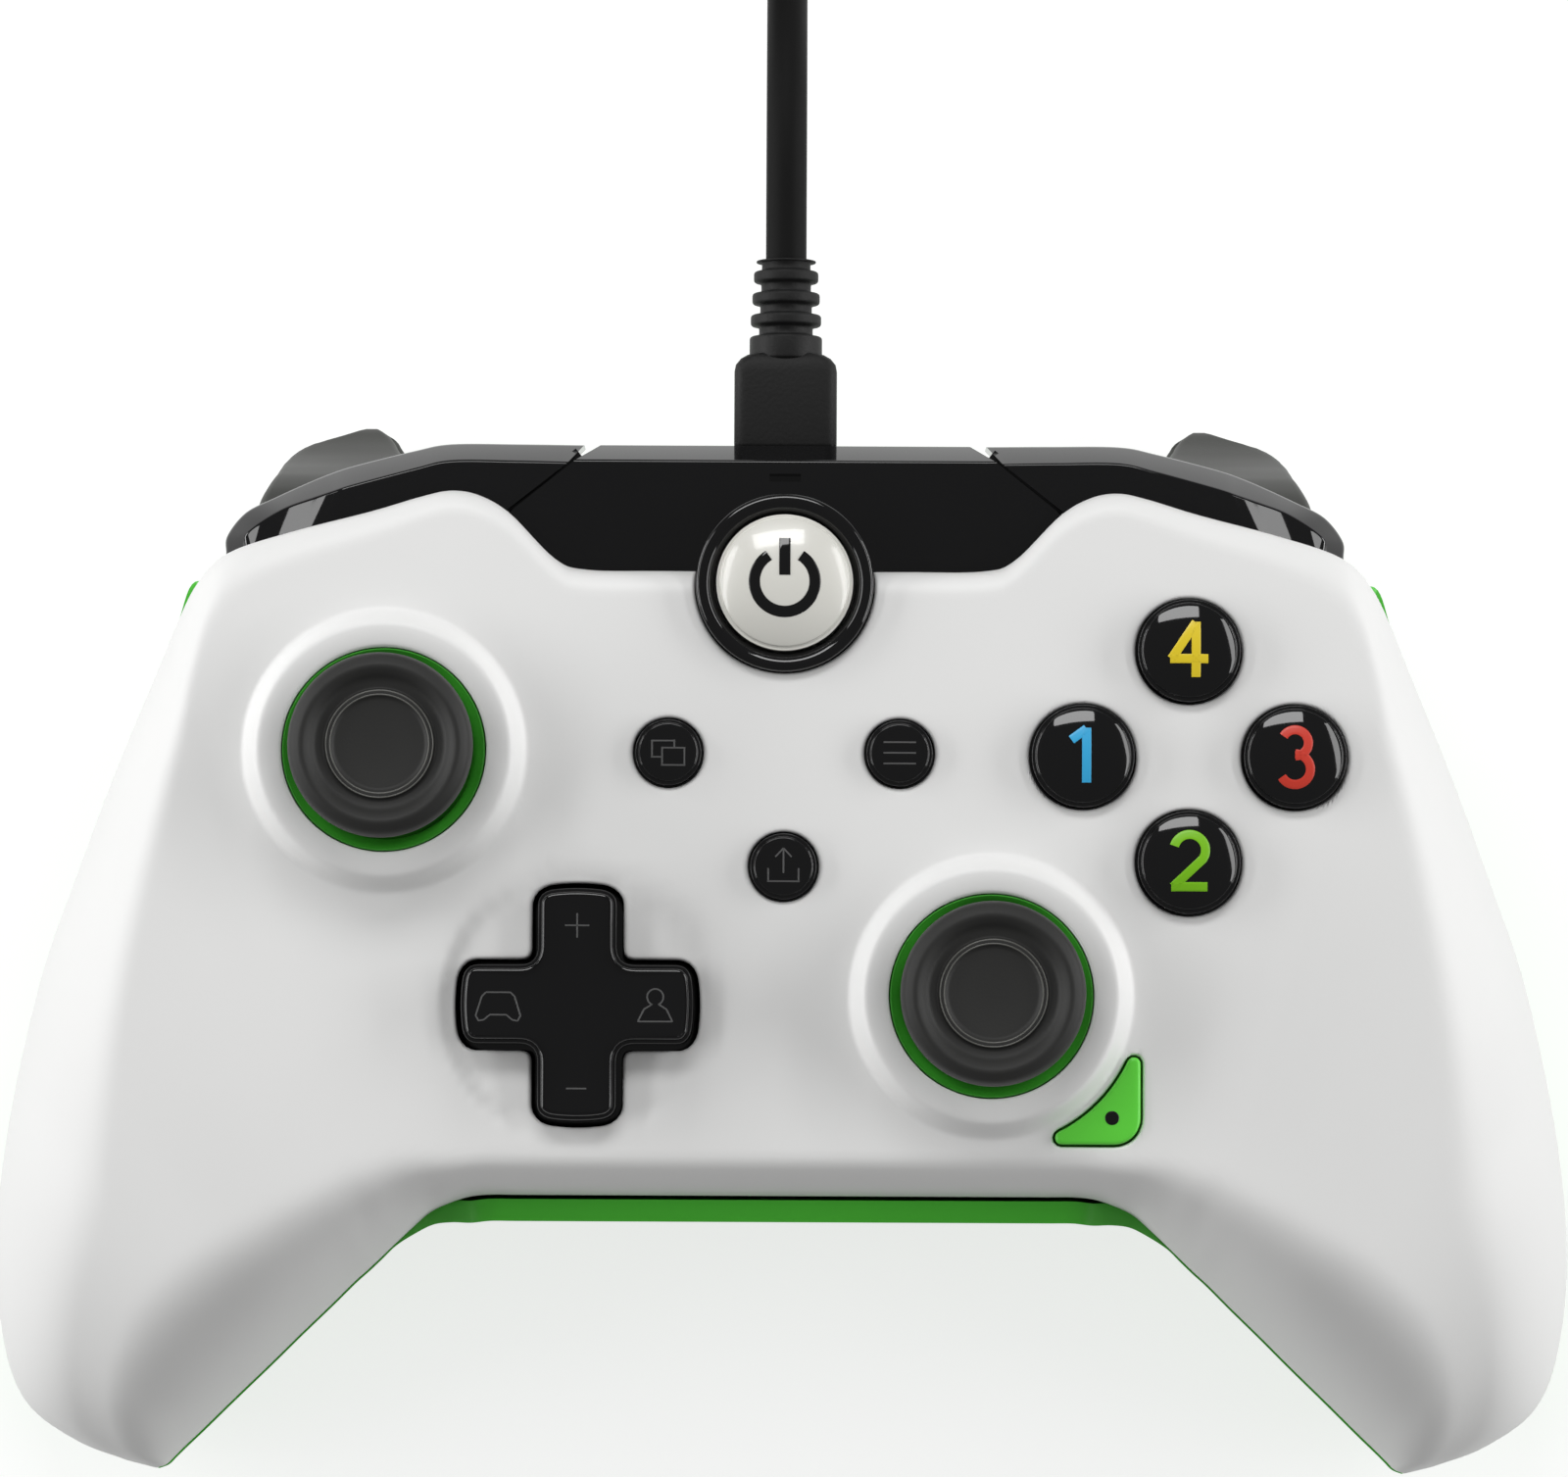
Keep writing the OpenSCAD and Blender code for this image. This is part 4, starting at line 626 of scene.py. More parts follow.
class Hole:
    """Hole in a shell: its edge loop or open edge in plan, and the points round it on growing loops."""

    def __init__(self, loop, lip, extra=(), closed=True, spot=None):
        self.loop, self.lip, self.closed, self.spot = loop, lip, closed, spot
        steps = lip * np.array([0, 0.04, 0.15, 0.35, 0.65, 1, 1.8])
        self.reach = np.concatenate([steps, extra])
        self.rings = [self.moved(d) for d in self.reach]
        gone = np.maximum(0, lip - self.reach)
        self.drop = lip - np.sqrt(lip**2 - gone**2)

    def moved(self, distance):
        """The edge moved out along its normals, or away from the spot if it is open."""
        if self.closed:
            return grown(self.loop, distance)
        away = self.loop - self.spot
        return self.spot + away * (1 + distance / np.linalg.norm(away[0]))

    def shut(self, ring):
        """The ring as a closed loop: an open one is closed well behind the shell."""
        return ring if self.closed else np.vstack([ring, ring[-1:] + [[0, 30]], ring[:1] + [[0, 30]]])

    def zone(self, margin):
        """Closed loop round the hole and its rings."""
        return self.shut(self.moved(self.reach[-1] + margin))

    def opening(self):
        """Closed loop of the hole itself."""
        return self.shut(self.loop)


def round_hole(centre, radius, lip, extra=()):
    """Hole on a circle, with points about 0.5 apart."""
    return Hole(arc(centre, radius, 0, 360, max(36, int(radius * 12)))[:-1], lip, extra)


def sheet_mesh(table, holes):
    """Place, share and drop of each point of a sheet with holes, and its triangles. An even grid and each hole's rings
    are joined by Delaunay triangulation over the sheet's own length and share, and the openings are taken out. All of
    a hole's edge is kept, but its wider rings give way to the rings of later holes."""
    last = len(table) - 1
    places = np.linspace(0, last, last * 7 + 1)
    shares = (1 - np.cos(np.pi * np.linspace(0, 1, 64))) / 2
    place, share = (g.ravel() for g in np.meshgrid(places, shares, indexing="ij"))
    base = sheet_points(table, place, share)
    keep = np.ones(len(base), bool)
    for hole in holes:
        keep &= ~inside(base[:, :2], hole.zone(0.25))
    place, share, drop = [place[keep]], [share[keep]], [np.zeros(keep.sum())]
    edges, count = [], keep.sum()
    for n, hole in enumerate(holes):
        for k, ring in enumerate(hole.rings):
            at, across = sheet_place(table, ring)
            free = np.ones(len(ring), bool)
            for later in holes[n + 1 :] if k else ():
                free &= ~inside(ring, later.zone(0.1))
            if not hole.closed:
                free &= ring[:, 1] < sheet_points(table, at, np.zeros(len(at)))[:, 1] - 1e-3
                free[[0, -1]] = True
                across[[0, -1]] = 0
            if k == 0:
                ids = np.arange(len(ring)) + count
                edges += np.stack([ids, np.roll(ids, -1)], 1)[: len(ids) if hole.closed else -1].tolist()
            place.append(at[free])
            share.append(across[free])
            drop.append(np.full(free.sum(), hole.drop[k]))
            count += free.sum()
    place, share, drop = (np.concatenate(v) for v in (place, share, drop))
    base = sheet_points(table, place, share)
    middle = sheet_points(table, places, np.full(len(places), 0.5))
    wide = 60
    flat = np.stack([np.interp(place, places, way_along(middle[:, :2])), share * wide], 1)
    _, _, faces, origin, _, _ = delaunay_2d_cdt([Vector(p) for p in flat.tolist()], edges, [], 0, 1e-6)
    faces = np.array([o[0] for o in origin])[np.array(faces)]
    centre = base[faces].mean(1)[:, :2]
    for hole in holes:
        gone = inside(centre, hole.opening())
        faces, centre = faces[~gone], centre[~gone]
    used, faces = np.unique(faces, return_inverse=True)
    return place[used], share[used], drop[used], faces.reshape(-1, 3)


def shell_shape(table, holes, relief, wall, turn):
    """Walled shell with holes, facing up for turn 1 and down for -1: each ring is dropped to round its hole's lip, and
    the inner skin lies one wall along the sheet's normals, less where the handle tips are narrow."""
    place, share, drop, faces = sheet_mesh(table, holes)
    base = sheet_points(table, place, share)
    normal = sheet_normals(table, place, share) * turn
    row = table_at(table, place)
    run = np.linalg.norm(row[:, 3:5] - row[:, :2], axis=1)
    narrow, least = 16, 0.15
    depth = wall * np.clip(run / narrow, least, 1)
    outer = base.copy()
    outer[:, 2] += turn * (relief(base) - drop)
    inner = base - normal * depth[:, None]
    if turn < 0:
        outer[:, 2] = np.maximum(outer[:, 2], 0)
        inner[:, 2] = np.maximum(inner[:, 2], wall * 0.8)
    sides = np.sort(np.vstack([faces[:, [0, 1]], faces[:, [1, 2]], faces[:, [2, 0]]]), axis=1)
    rim, uses = np.unique(sides, axis=0, return_counts=True)
    rim = rim[uses == 1]
    shape = Shape()
    n = len(outer)
    walls = np.stack([rim[:, 0], rim[:, 1], rim[:, 1] + n, rim[:, 0] + n], 1)
    shape.points, shape.count = [outer, inner], 2 * n
    shape.faces = faces.tolist() + (faces[:, ::-1] + n).tolist() + walls.tolist()
    shape.paint = [0] * len(shape.faces)
    return shape


def collar_height(r):
    """Height of a stick's collar at a radius: it climbs from the hole to its crest and rolls down in half a cosine
    wave to nothing at its foot."""
    climb = 2 - 0.44 * ((COLLAR_CREST - r) / (COLLAR_CREST - WELL_R)) ** 2
    roll = 1 + np.cos(np.pi * np.clip((r - COLLAR_CREST) / (COLLAR_FOOT - COLLAR_CREST), 0, 1))
    return np.where(r < COLLAR_CREST, climb, roll)


def face_relief(points):
    """Height added to the front shell: the collars round both sticks and a shallow dish round the direction pad."""
    high = np.zeros(len(points))
    for spot in STICKS.values():
        r = np.linalg.norm(points[:, :2] - spot, axis=1)
        high += np.where(r < COLLAR_FOOT, collar_height(np.maximum(r, WELL_R)), 0)
    r = np.linalg.norm(points[:, :2] - PAD_AT, axis=1)
    dish_r, slope, depth = 13.9, 1.6, 0.4
    t = np.clip((dish_r - r) / slope, 0, 1)
    return high - depth * t**2 * (3 - 2 * t)


class GAMEPAD_OT_front_shell(Operator):
    """Make the white front shell with its holes, stick collars and rounded lips"""

    bl_idname = "gamepad.front_shell"
    bl_label = "Front shell"

    def execute(self, context):
        shell = context.scene.gamepad_shell
        table = both_sides(FRONT_ROWS)
        lip = shell.lip / MM
        collar = np.concatenate([[1.1, 1.6, 2.0], np.arange(2.3, 4.5, 0.22), [4.9]])
        holes = [round_hole(p, WELL_R, lip, collar) for p in STICKS.values()]
        holes += [round_hole(p, FACE_R + BUTTON_GAP, lip) for p in FACE_BUTTONS.values()]
        holes += [round_hole(p, SYSTEM_R + BUTTON_GAP, lip) for p in SYSTEM_BUTTONS.values()]
        holes += [Hole(grown(cross_loop(), 0.65), lip), Hole(grown(function_loop(), BUTTON_GAP), 0.8 * lip)]
        radius = GUIDE_OUTER_R + 0.1
        tilt = math.degrees(math.asin((FRONT_ROWS[0, 1] - GUIDE_AT[1]) / radius))
        notch = arc(GUIDE_AT, radius, 180 - tilt, 360 + tilt, 64)
        holes.append(Hole(notch, lip, closed=False, spot=np.array(GUIDE_AT)))
        shape = shell_shape(table, holes, face_relief, shell.wall / MM, 1)
        bore, outer = 1.27, 3.2
        for x, y, z in SHELL_SCREWS:
            top = sheet_points(table, *sheet_place(table, arc((x, y), outer, 0, 360)))[:, 2].min() - 0.9
            low = z + SCREW_GAP
            tube = [[bore, low], [outer, low], [outer, top], [bore, top], [bore, low]]
            shape.turned(tube, (x, y), 32)
        put(shape.mesh("front_shell"), "front_shell_moulding", [white_plastic(context)], "controller",
            ["front_shell"])
        return {"FINISHED"}


class GAMEPAD_OT_rear_shell(Operator):
    """Make the green rear shell with its screw wells, headset opening and posts"""

    bl_idname = "gamepad.rear_shell"
    bl_label = "Rear shell"

    def execute(self, context):
        shell = context.scene.gamepad_shell
        table = both_sides(rear_rows())
        head, shank, outer, seat = 2.75, 1.5, 3.3, 6
        holes = [round_hole(spot[:2], head, 0.3) for spot in SHELL_SCREWS]
        shape = shell_shape(table, holes, lambda points: 0 * points[:, 0], shell.wall / MM, -1)
        for x, y, z in SHELL_SCREWS:
            low = sheet_points(table, *sheet_place(table, arc((x, y), outer, 0, 360)))[:, 2].max() + 0.5
            top = z - SCREW_GAP
            well = [
                [head, low], [head, seat], [shank, seat], [shank, top], [outer, top], [outer, low], [head, low],
            ]
            shape.turned(well, (x, y), 32)
        post = [[0, 20.2], [1.12, 20.2], [1.12, 25.2], [2.6, 25.2], [2.6, 1.2], [0, 1.2]]
        for spot in BOARD_POSTS:
            shape.turned(post, spot, 32)
        for side in (-1, 1):
            x, y, z = side * MOTOR_AT[0], MOTOR_AT[1], MOTOR_AT[2]
            cup = arc((x, z), CUP_R, 225, 315, 16)
            loop = np.vstack([cup, [[cup[-1, 0], 2], [cup[0, 0], 2]]])
            shape.loft(np.array([np.insert(loop, 1, y + d, axis=1) for d in (-4.9, 4.9)]))
        jack = bore_mesh((0, -40, JACK_Z), (0, -22, JACK_Z), JACK_R, 1)
        mesh = cut(shape.mesh("rear_shell"), [jack])
        put(mesh, "rear_shell_moulding", [green_plastic(context)], "controller", ["rear_shell"])
        return {"FINISHED"}


class GAMEPAD_OT_bridge(Operator):
    """Make the gloss black bridge behind the notch, with its light slot and cable opening"""

    bl_idname = "gamepad.bridge"
    bl_label = "Bridge"

    def execute(self, context):
        wing = np.linspace(0, 1, 17)[1:]
        middle = np.linspace(-BRIDGE_CORE, BRIDGE_CORE, 61)
        column = np.concatenate([-BRIDGE_CORE - wing[::-1], middle, BRIDGE_CORE + wing])
        core = np.clip(column, -BRIDGE_CORE, BRIDGE_CORE)
        radius = GUIDE_OUTER_R + 0.15
        front = np.maximum(BRIDGE_OUTER[0][0], GUIDE_AT[1] + np.sqrt(np.maximum(0, radius**2 - core**2)))
        loops = []
        for corners in (BRIDGE_OUTER, BRIDGE_INNER):
            # Even steps from the front edge to the knee, then the section's own points over the back
            line = rounded(corners, 0.25, 6)
            along = way_along(line)
            wall = int(np.argmax(line[:, 0] > line[-1, 0] - 1e-6))
            start = np.interp(front, line[: wall + 1, 0], along[: wall + 1])
            knee = np.interp(BRIDGE_KNEE, line[: wall + 1, 0], along[: wall + 1])
            near = start[:, None] + (knee - start)[:, None] * np.linspace(0, 1, 20)
            rest = np.tile(along[along > knee + 0.01], (len(start), 1))
            at = np.hstack([near, rest])
            y, z = np.interp(at, along, line[:, 0]), np.interp(at, along, line[:, 1])
            half = np.interp(y, BRIDGE_HALF[:, 0], BRIDGE_HALF[:, 1])
            x = core[:, None] + (column - core)[:, None] * (half - BRIDGE_CORE)
            loops.append(np.stack([x, y, z], -1))
        shape = Shape()
        shape.loft(np.concatenate([loops[0], loops[1][:, ::-1]], axis=1))
        cable_gap = box_mesh((-4.3, 46, 26.5), (4.3, 51, 30.3))
        light_slot = box_mesh((-1.55, 45.25, 37.7), (1.55, 46.05, 42))
        mesh = cut(shape.mesh("top_bridge"), [cable_gap, light_slot])
        put(mesh, "top_bridge_moulding", [gloss_black(context)], "controller", ["top_bridge"])
        return {"FINISHED"}


class GAMEPAD_OT_bumpers(Operator):
    """Make both gloss black bumpers from their stations, with eased edges"""

    bl_idname = "gamepad.bumpers"
    bl_label = "Bumpers"

    def execute(self, context):
        row = table_at(BUMPER_ROWS, np.linspace(0, len(BUMPER_ROWS) - 1, 81))
        back, line, front = row[:, :2], row[:, 2:4], row[:, 4:6]
        top, edge, foot = (FACE + row[:, k] for k in (6, 7, 8))
        inward = unit(front - back)
        bevel = np.minimum(edge + 4.4, top - 0.4)
        corners = [(front, top), (line, bevel), (back, edge), (back, foot), (back + 2 * inward, foot),
                   (line + inward, bevel - 2.4), (front, top - 2)]
        section = np.stack([np.column_stack(c) for c in corners], axis=1)
        loops = rounded(section, np.array([0.25, 0.25, 0.5, 0.4, 0.3, 0.8, 0.4]), 5, True)
        lug = [[1.25, 33.9], [2.5, 33.9], [2.5, 38.6], [0, 38.6], [0, 37.8], [1.25, 37.8], [1.25, 33.9]]
        slabs = []
        for at, end, high, near in SEAM_SLABS:
            ways = ((at, near), (at, SEAM_FAR), (end, SEAM_FAR), (end, near))
            plan = [SEAM[k] + n * SEAM_OUT for k, n in ways]
            slabs.append(np.array([np.column_stack([plan, np.full(4, z)]) for z in (SEAM_LOW, high)]))
        for name, side in SIDES.items():
            shape = Shape()
            shape.loft(loops * [side, 1, 1])
            shape.turned(lug, (side * 29.8, 40.4), 32)
            for slab in slabs:
                shape.loft(slab * [side, 1, 1])
            bumper = name + "_bumper"
            put(shape.mesh(bumper), bumper + "_key", [gloss_black(context)], bumper, [bumper])
        return {"FINISHED"}


class GAMEPAD_OT_triggers(Operator):
    """Make both grey triggers with rounded flanks and a bore for their pin"""

    bl_idname = "gamepad.triggers"
    bl_label = "Triggers"

    def execute(self, context):
        grey = finish("trigger_grey", context.scene.gamepad_controls.trigger_colour, 0.5, 0.0004, 0.00002, 0.06)
        profile = evenly(rounded(TRIGGER_PROFILE, 1.5, 5, True)[::-1], 0.5, True)
        reach = (TRIGGER_INNER, TRIGGER_OUTER)
        low, high = (np.interp(profile[:, 0], side[:, 0], side[:, 1]) for side in reach)
        ease, turn, level = 0.9, 7, 13
        q = np.linspace(0, np.pi / 2, turn)
        inset = np.concatenate([ease * (1 - np.cos(q)), np.full(level, ease), ease * (1 - np.cos(q[::-1]))])
        shrink = np.concatenate([ease * (1 - np.sin(q)), np.zeros(level), ease * (1 - np.sin(q[::-1]))])
        share = np.concatenate([np.zeros(turn), np.linspace(0, 1, level + 2)[1:-1], np.ones(turn)])
        signed = np.where(share < 0.5, inset, -inset) * np.abs(1 - 2 * share)
        slim = np.maximum(high - low, 0)
        scale = np.clip(slim / (4 * ease), 0, 1)
        x = low + share[:, None] * slim + signed[:, None] * scale
        outline = np.array([grown(profile, -s) for s in shrink]) + TRIGGER_PIVOT
        loops = np.dstack([x, outline])
        for name, side in SIDES.items():
            shape = Shape()
            shape.loft(loops * [side, 1, 1])
            bore = bore_mesh((side * 34, *TRIGGER_PIVOT), (side * 56, *TRIGGER_PIVOT), PIN_BORE_R)
            trigger = name + "_trigger"
            mesh = cut(shape.mesh(trigger), [bore])
            put(mesh, trigger + "_paw", [grey], trigger, [trigger])
        return {"FINISHED"}


# Controls


def button_outline(radius, flange, flange_top, edge, rise, stem, low, ease=0.42):
    """Half outline of a round button: stem, flange under the face, straight side, flat rim, a small step and a dome
    that falls with the square of the radius."""
    r = np.linspace(radius - ease, 0, 14)
    dome = np.stack([r, edge + rise * (1 - (r / radius) ** 2)], 1)
    rim = dome[0, 1] - 0.28
    side = [[radius, flange_top], [radius, rim], [radius - ease + 0.04, rim], dome[0], dome[1]]
    foot = [[0, low], [stem, low], [stem, flange_top - 1.2], [flange, flange_top - 1.2], [flange, flange_top]]
    return np.vstack([foot, rounded(side, 0.1, 5), dome[2:]])


def dome_height(centre, radius, edge, rise):
    """Height of such a dome as a function of plan coordinates."""
    return lambda x, y: edge + rise * (1 - ((x - centre[0]) ** 2 + (y - centre[1]) ** 2) / radius**2)


DIGITS = {
    1: [[[-1.2, 1.5], [0.3, 2.6]], [[0.3, 2.7], [0.3, -2.7]]],
    2: [np.vstack([arc((0, 1.15), 1.55, 165, -35), [[-1.6, -2.45]]]), [[-1.8, -2.45], [1.75, -2.45]]],
    3: [arc((-0.1, 1.3), 1.3, 150, -90), arc((-0.1, -1.3), 1.5, 90, -150)],
    4: [[[0.6, 2.7], [-1.8, -0.9]], [[-1.95, -0.9], [1.8, -0.9]], [[0.6, 2.75], [0.6, -2.7]]],
}


class GAMEPAD_OT_guide(Operator):
    """Make the guide button's bezel and its pearl dome with a plain power mark"""

    bl_idname = "gamepad.guide"
    bl_label = "Guide button"

    def execute(self, context):
        r, bore, foot = GUIDE_OUTER_R, GUIDE_R + BUTTON_GAP, 37.4
        ring = [
            [bore, foot], [r, foot], [r, FACE + 1], [r - 0.7, FACE + 1.25], [bore + 0.3, FACE + 0.9], [bore, FACE],
        ]
        outline = rounded(ring, np.array([0.1, 0.1, 0.7, 0.6, 0.4, 0.1]), 5, True)
        bezel = Shape()
        bezel.turned(np.vstack([outline, outline[:1]]), GUIDE_AT)
        put(bezel.mesh("guide_bezel"), "guide_bezel_ring", [gloss_black(context)], "controller",
            ["guide_bezel"])
        edge, rise = FACE + 0.9, 1.8
        shape = Shape()
        shape.turned(button_outline(GUIDE_R, GUIDE_R + 1, foot - FLANGE_GAP, edge, rise, 2.6, KEY_LOW), GUIDE_AT)
        height = dome_height(GUIDE_AT, GUIDE_R, edge, rise)
        controls = context.scene.gamepad_controls
        for path in (arc((0, 0), 3, 58, -238, 48), [[0, 0.6], [0, 4.3]]):
            shape.stroke(np.array(path) + GUIDE_AT, 1.1, height, controls.mark_lift / MM)
        pearl = finish("pearl", controls.dome_colour, 0.22, 0.002, 0.000004, 0.05, coat=0.6)
        put(shape.mesh("guide_button"), "guide_button_dome", [pearl, gloss_black(context)], "guide_button",
            ["guide_button"])
        return {"FINISHED"}


class GAMEPAD_OT_sticks(Operator):
    """Make both rubber stick caps and the green rings in their wells, their green darkened as painted shade"""

    bl_idname = "gamepad.sticks"
    bl_label = "Sticks"

    def execute(self, context):
        rim, r = FACE + 10.4, 9.05
        outside = arc((0, PIVOT), 12, 43.2, 75.5, 13)
        under = arc((0, PIVOT), 11.1, 81.6, 43.2, 13)
        top = rounded(
            [outside[-1], [3, rim - 5.9], [4.4, rim - 4.8], [r - 1.6, rim - 4.4], [r - 0.4, rim - 3.9], [r, rim - 3],
             [r, rim - 1.8], [r - 0.3, rim - 0.6], [r - 1.4, rim + 0.05], [r - 2.1, rim - 0.35], [r - 2.75, rim - 1],
             [r - 3.6, rim - 1.15], [r - 3.8, rim - 0.75], [r - 4.25, rim - 0.75], [r - 4.6, rim - 1.1],
             [0, rim - 1.4]], 0.5, 5)
        well = [[0, FACE + 6.62], [1.62, FACE + 6.62], under[0]]
        bore, ring_r, foot_r, foot = 8.65, 10.0, 12, 39.9
        ring = rounded(
            [[bore, foot], [foot_r, foot], [foot_r, foot + 0.6], [ring_r, foot + 0.6], [ring_r, FACE + 1.25],
             [ring_r - 0.15, FACE + 1.4], [bore + 0.6, FACE - 0.8], [bore, foot + 0.3]], 0.12, 3, True)
        bead = np.array([[0.09, -0.06], [0.05, 0.03], [0, 0.05], [-0.05, 0.03], [-0.09, -0.06], [0.09, -0.06]])
        # Painted shade: the rings and cap skirts take a green darker than the rear shell's, standing in for the shade
        # deep in the stick wells
        green = finish("ring_green_painted_shade", context.scene.gamepad_controls.ring_shaded_colour, 0.42, 0.0005, 0.000015, 0.04)
        # Painted highlight: light grey for two thin beads on the edges of the cap's inner ridge, standing in for the
        # bright lines that light draws there
        ridge_highlight = finish("ridge_highlight_rubber", tone(88, 88, 84), 0.35, 0.001, 0.000004, 0.05)
        for name, spot in STICKS.items():
            cap, collar = Shape(), Shape()
            cap.turned(np.vstack([top, well, under[1:], outside[:1]]), spot, 120)
            # The skirt takes the rings' green, darkened as painted shade
            cap.turned(outside, spot, 120, paint=1)
            # Beads in the painted highlight grey
            for at in (r - 3.83, r - 4.22):
                cap.turned(bead + [at, rim - 0.76], spot, 120, paint=2)
            put(cap.mesh(name + "_stick_cap"), name + "_stick_rubber", [grey_rubber(context), green, ridge_highlight],
                name + "_stick", [name + "_stick_cap"])
            collar.turned(np.vstack([ring, ring[:1]]), spot, 120)
            put(collar.mesh(name + "_stick_ring"), name + "_stick_inlay", [green], "controller",
                [name + "_stick_ring"])
        return {"FINISHED"}


def capped(shape, loop, height, step):
    """Adds the area inside a plan loop, triangulated with a grid of points a step apart, at a height function."""
    low, high = loop.min(0), loop.max(0)
    x, y = np.meshgrid(np.arange(low[0], high[0], step), np.arange(low[1], high[1], step))
    grid = np.stack([x.ravel(), y.ravel()], 1)
    points = np.vstack([loop, grid[inside(grid, grown(loop, -0.35 * step))]])
    ids = np.arange(len(loop))
    edges = np.stack([ids, np.roll(ids, -1)], 1).tolist()
    _, _, faces, origin, _, _ = delaunay_2d_cdt([Vector(p) for p in points.tolist()], edges, [], 1, 1e-7)
    faces = np.array([o[0] for o in origin])[np.array(faces)]
    shape.add(np.column_stack([points, height(points[:, 0], points[:, 1])]), faces)


PAD_MARKS = [
    [[-1.2, 7.7], [1.2, 7.7]], [[0, 6.5], [0, 8.9]], [[-1, -8.3], [1, -8.3]],
    [[-8.9, 1.1], [-6.5, 1.1], [-6.1, 0.7], [-5.5, -1.2], [-5.8, -1.7], [-6.3, -1.6], [-6.9, -1.1], [-8.5, -1.1],
     [-9.1, -1.6], [-9.6, -1.7], [-9.9, -1.2], [-9.3, 0.7], [-8.9, 1.1]],
    arc((7.7, 0.7), 0.8, 250, -70), [[7.4, 0], [6.6, -0.5], [6, -1.7], [9.4, -1.7], [8.8, -0.5], [8, 0]],
]


class GAMEPAD_OT_direction_pad(Operator):
    """Make the gloss black direction pad with a bevelled, dished top and raised marks, painted grey as a highlight"""

    bl_idname = "gamepad.direction_pad"
    bl_label = "Direction pad"

    def execute(self, context):
        controls = context.scene.gamepad_controls
        top, depth, reach = FACE + 3, controls.pad_dish / MM, math.sqrt(140)
        inset, ease = 0.4, 0.3
        loop = cross_loop()

        def dish(x, y):
            r2 = (x - PAD_AT[0]) ** 2 + (y - PAD_AT[1]) ** 2
            return top - depth * np.maximum(0, 1 - r2 / reach**2)

        q = np.radians(np.linspace(0, 80, 6))
        edge = np.column_stack([-inset - ease * (1 - np.cos(q)), top - ease + ease * np.sin(q)])
        side = [[0, 38.5], [0, top - 1.25], [-0.08, top - 1.15], [-0.33, top - 1.1], [-inset, top - 1]]
        loops = loop_stack(loop, np.vstack([side, edge]))
        inner = grown(loop, -inset - ease)
        top_loop = np.column_stack([inner, dish(inner[:, 0], inner[:, 1])])
        shape = Shape()
        shape.grid(np.concatenate([loops, [top_loop]]))
        capped(shape, inner, dish, 0.8)
        shape.turned(rounded([[0, 37.6], [12.6, 37.6], [12.6, 39], [0, 39]], 0.2, 3), PAD_AT, 64)
        # Raised marks in the painted highlight grey
        for path in PAD_MARKS:
            shape.stroke(np.array(path) + PAD_AT, FINE_WIDTH, dish, FINE_LIFT)
        put(shape.mesh("dpad"), "direction_pad", [gloss_black(context), mark_glint_grey()], "pad",
            ["dpad"])
        return {"FINISHED"}


class GAMEPAD_OT_face_buttons(Operator):
    """Make the four gloss black face buttons with coloured numbers"""

    bl_idname = "gamepad.face_buttons"
    bl_label = "Face buttons"

    def execute(self, context):
        controls = context.scene.gamepad_controls
        marks = {"top": (4, controls.top_mark), "left": (1, controls.left_mark),
                 "right": (3, controls.right_mark), "bottom": (2, controls.bottom_mark)}
        edge, rise = FACE + 1.2, 1.2
        outline = button_outline(FACE_R, FACE_R + 0.95, UNDER - FLANGE_GAP, edge, rise, 2.8, KEY_LOW)
        for name, spot in FACE_BUTTONS.items():
            digit, colour = marks[name]
            height = dome_height(spot, FACE_R, edge, rise)
            shape = Shape()
            shape.turned(outline, spot, 80)
            for path in DIGITS[digit]:
                shape.stroke(np.array(path) + spot, controls.mark_width / MM, height, controls.mark_lift / MM)
            ink = finish(name + "_mark", colour, 0.35, 0.001, 0.000004, 0.05)
            button = name + "_button"
            put(shape.mesh(button), button + "_dome", [gloss_black(context), ink], button, [button])
        return {"FINISHED"}


SYSTEM_MARKS = {
    "view": [[[-1.6, -0.5], [-1.6, 1.1]], [[-1.7, 1.1], [0.6, 1.1]], [[0.6, 1.2], [0.6, 0.4]],
             [[-1.7, -0.5], [-0.6, -0.5]], [[-0.6, 0.4], [1.7, 0.4]], [[-0.6, 0.5], [-0.6, -1.3]],
             [[-0.7, -1.3], [1.7, -1.3]], [[1.6, 0.4], [1.6, -1.3]]],
    "menu": [[[-1.6, 1.05], [1.6, 1.05]], [[-1.6, 0], [1.6, 0]], [[-1.6, -1.05], [1.6, -1.05]]],
    "share": [[[-1.5, -0.2], [-1.5, -1.5]], [[-1.6, -1.5], [1.6, -1.5]], [[1.5, -0.2], [1.5, -1.5]],
              [[0, -0.7], [0, 1.7]], [[-0.8, 0.9], [0, 1.75]], [[0.8, 0.9], [0, 1.75]]],
}


class GAMEPAD_OT_system_buttons(Operator):
    """Make the three small system buttons with plain raised marks, painted grey as a highlight"""

    bl_idname = "gamepad.system_buttons"
    bl_label = "System buttons"

    def execute(self, context):
        edge, rise = FACE + 0.8, 0.35
        outline = button_outline(
            SYSTEM_R, SYSTEM_R + 0.8, UNDER - FLANGE_GAP, edge, rise, 2.4, KEY_LOW, 0.4)
        for name, spot in SYSTEM_BUTTONS.items():
            height = dome_height(spot, SYSTEM_R, edge, rise)
            shape = Shape()
            shape.turned(outline, spot, 64)
            # Raised marks in the painted highlight grey
            for path in SYSTEM_MARKS[name]:
                shape.stroke(np.array(path) + spot, FINE_WIDTH, height, FINE_LIFT)
            button = name + "_button"
            put(shape.mesh(button), button + "_dome", [gloss_black(context), mark_glint_grey()], button,
                [button])
        return {"FINISHED"}


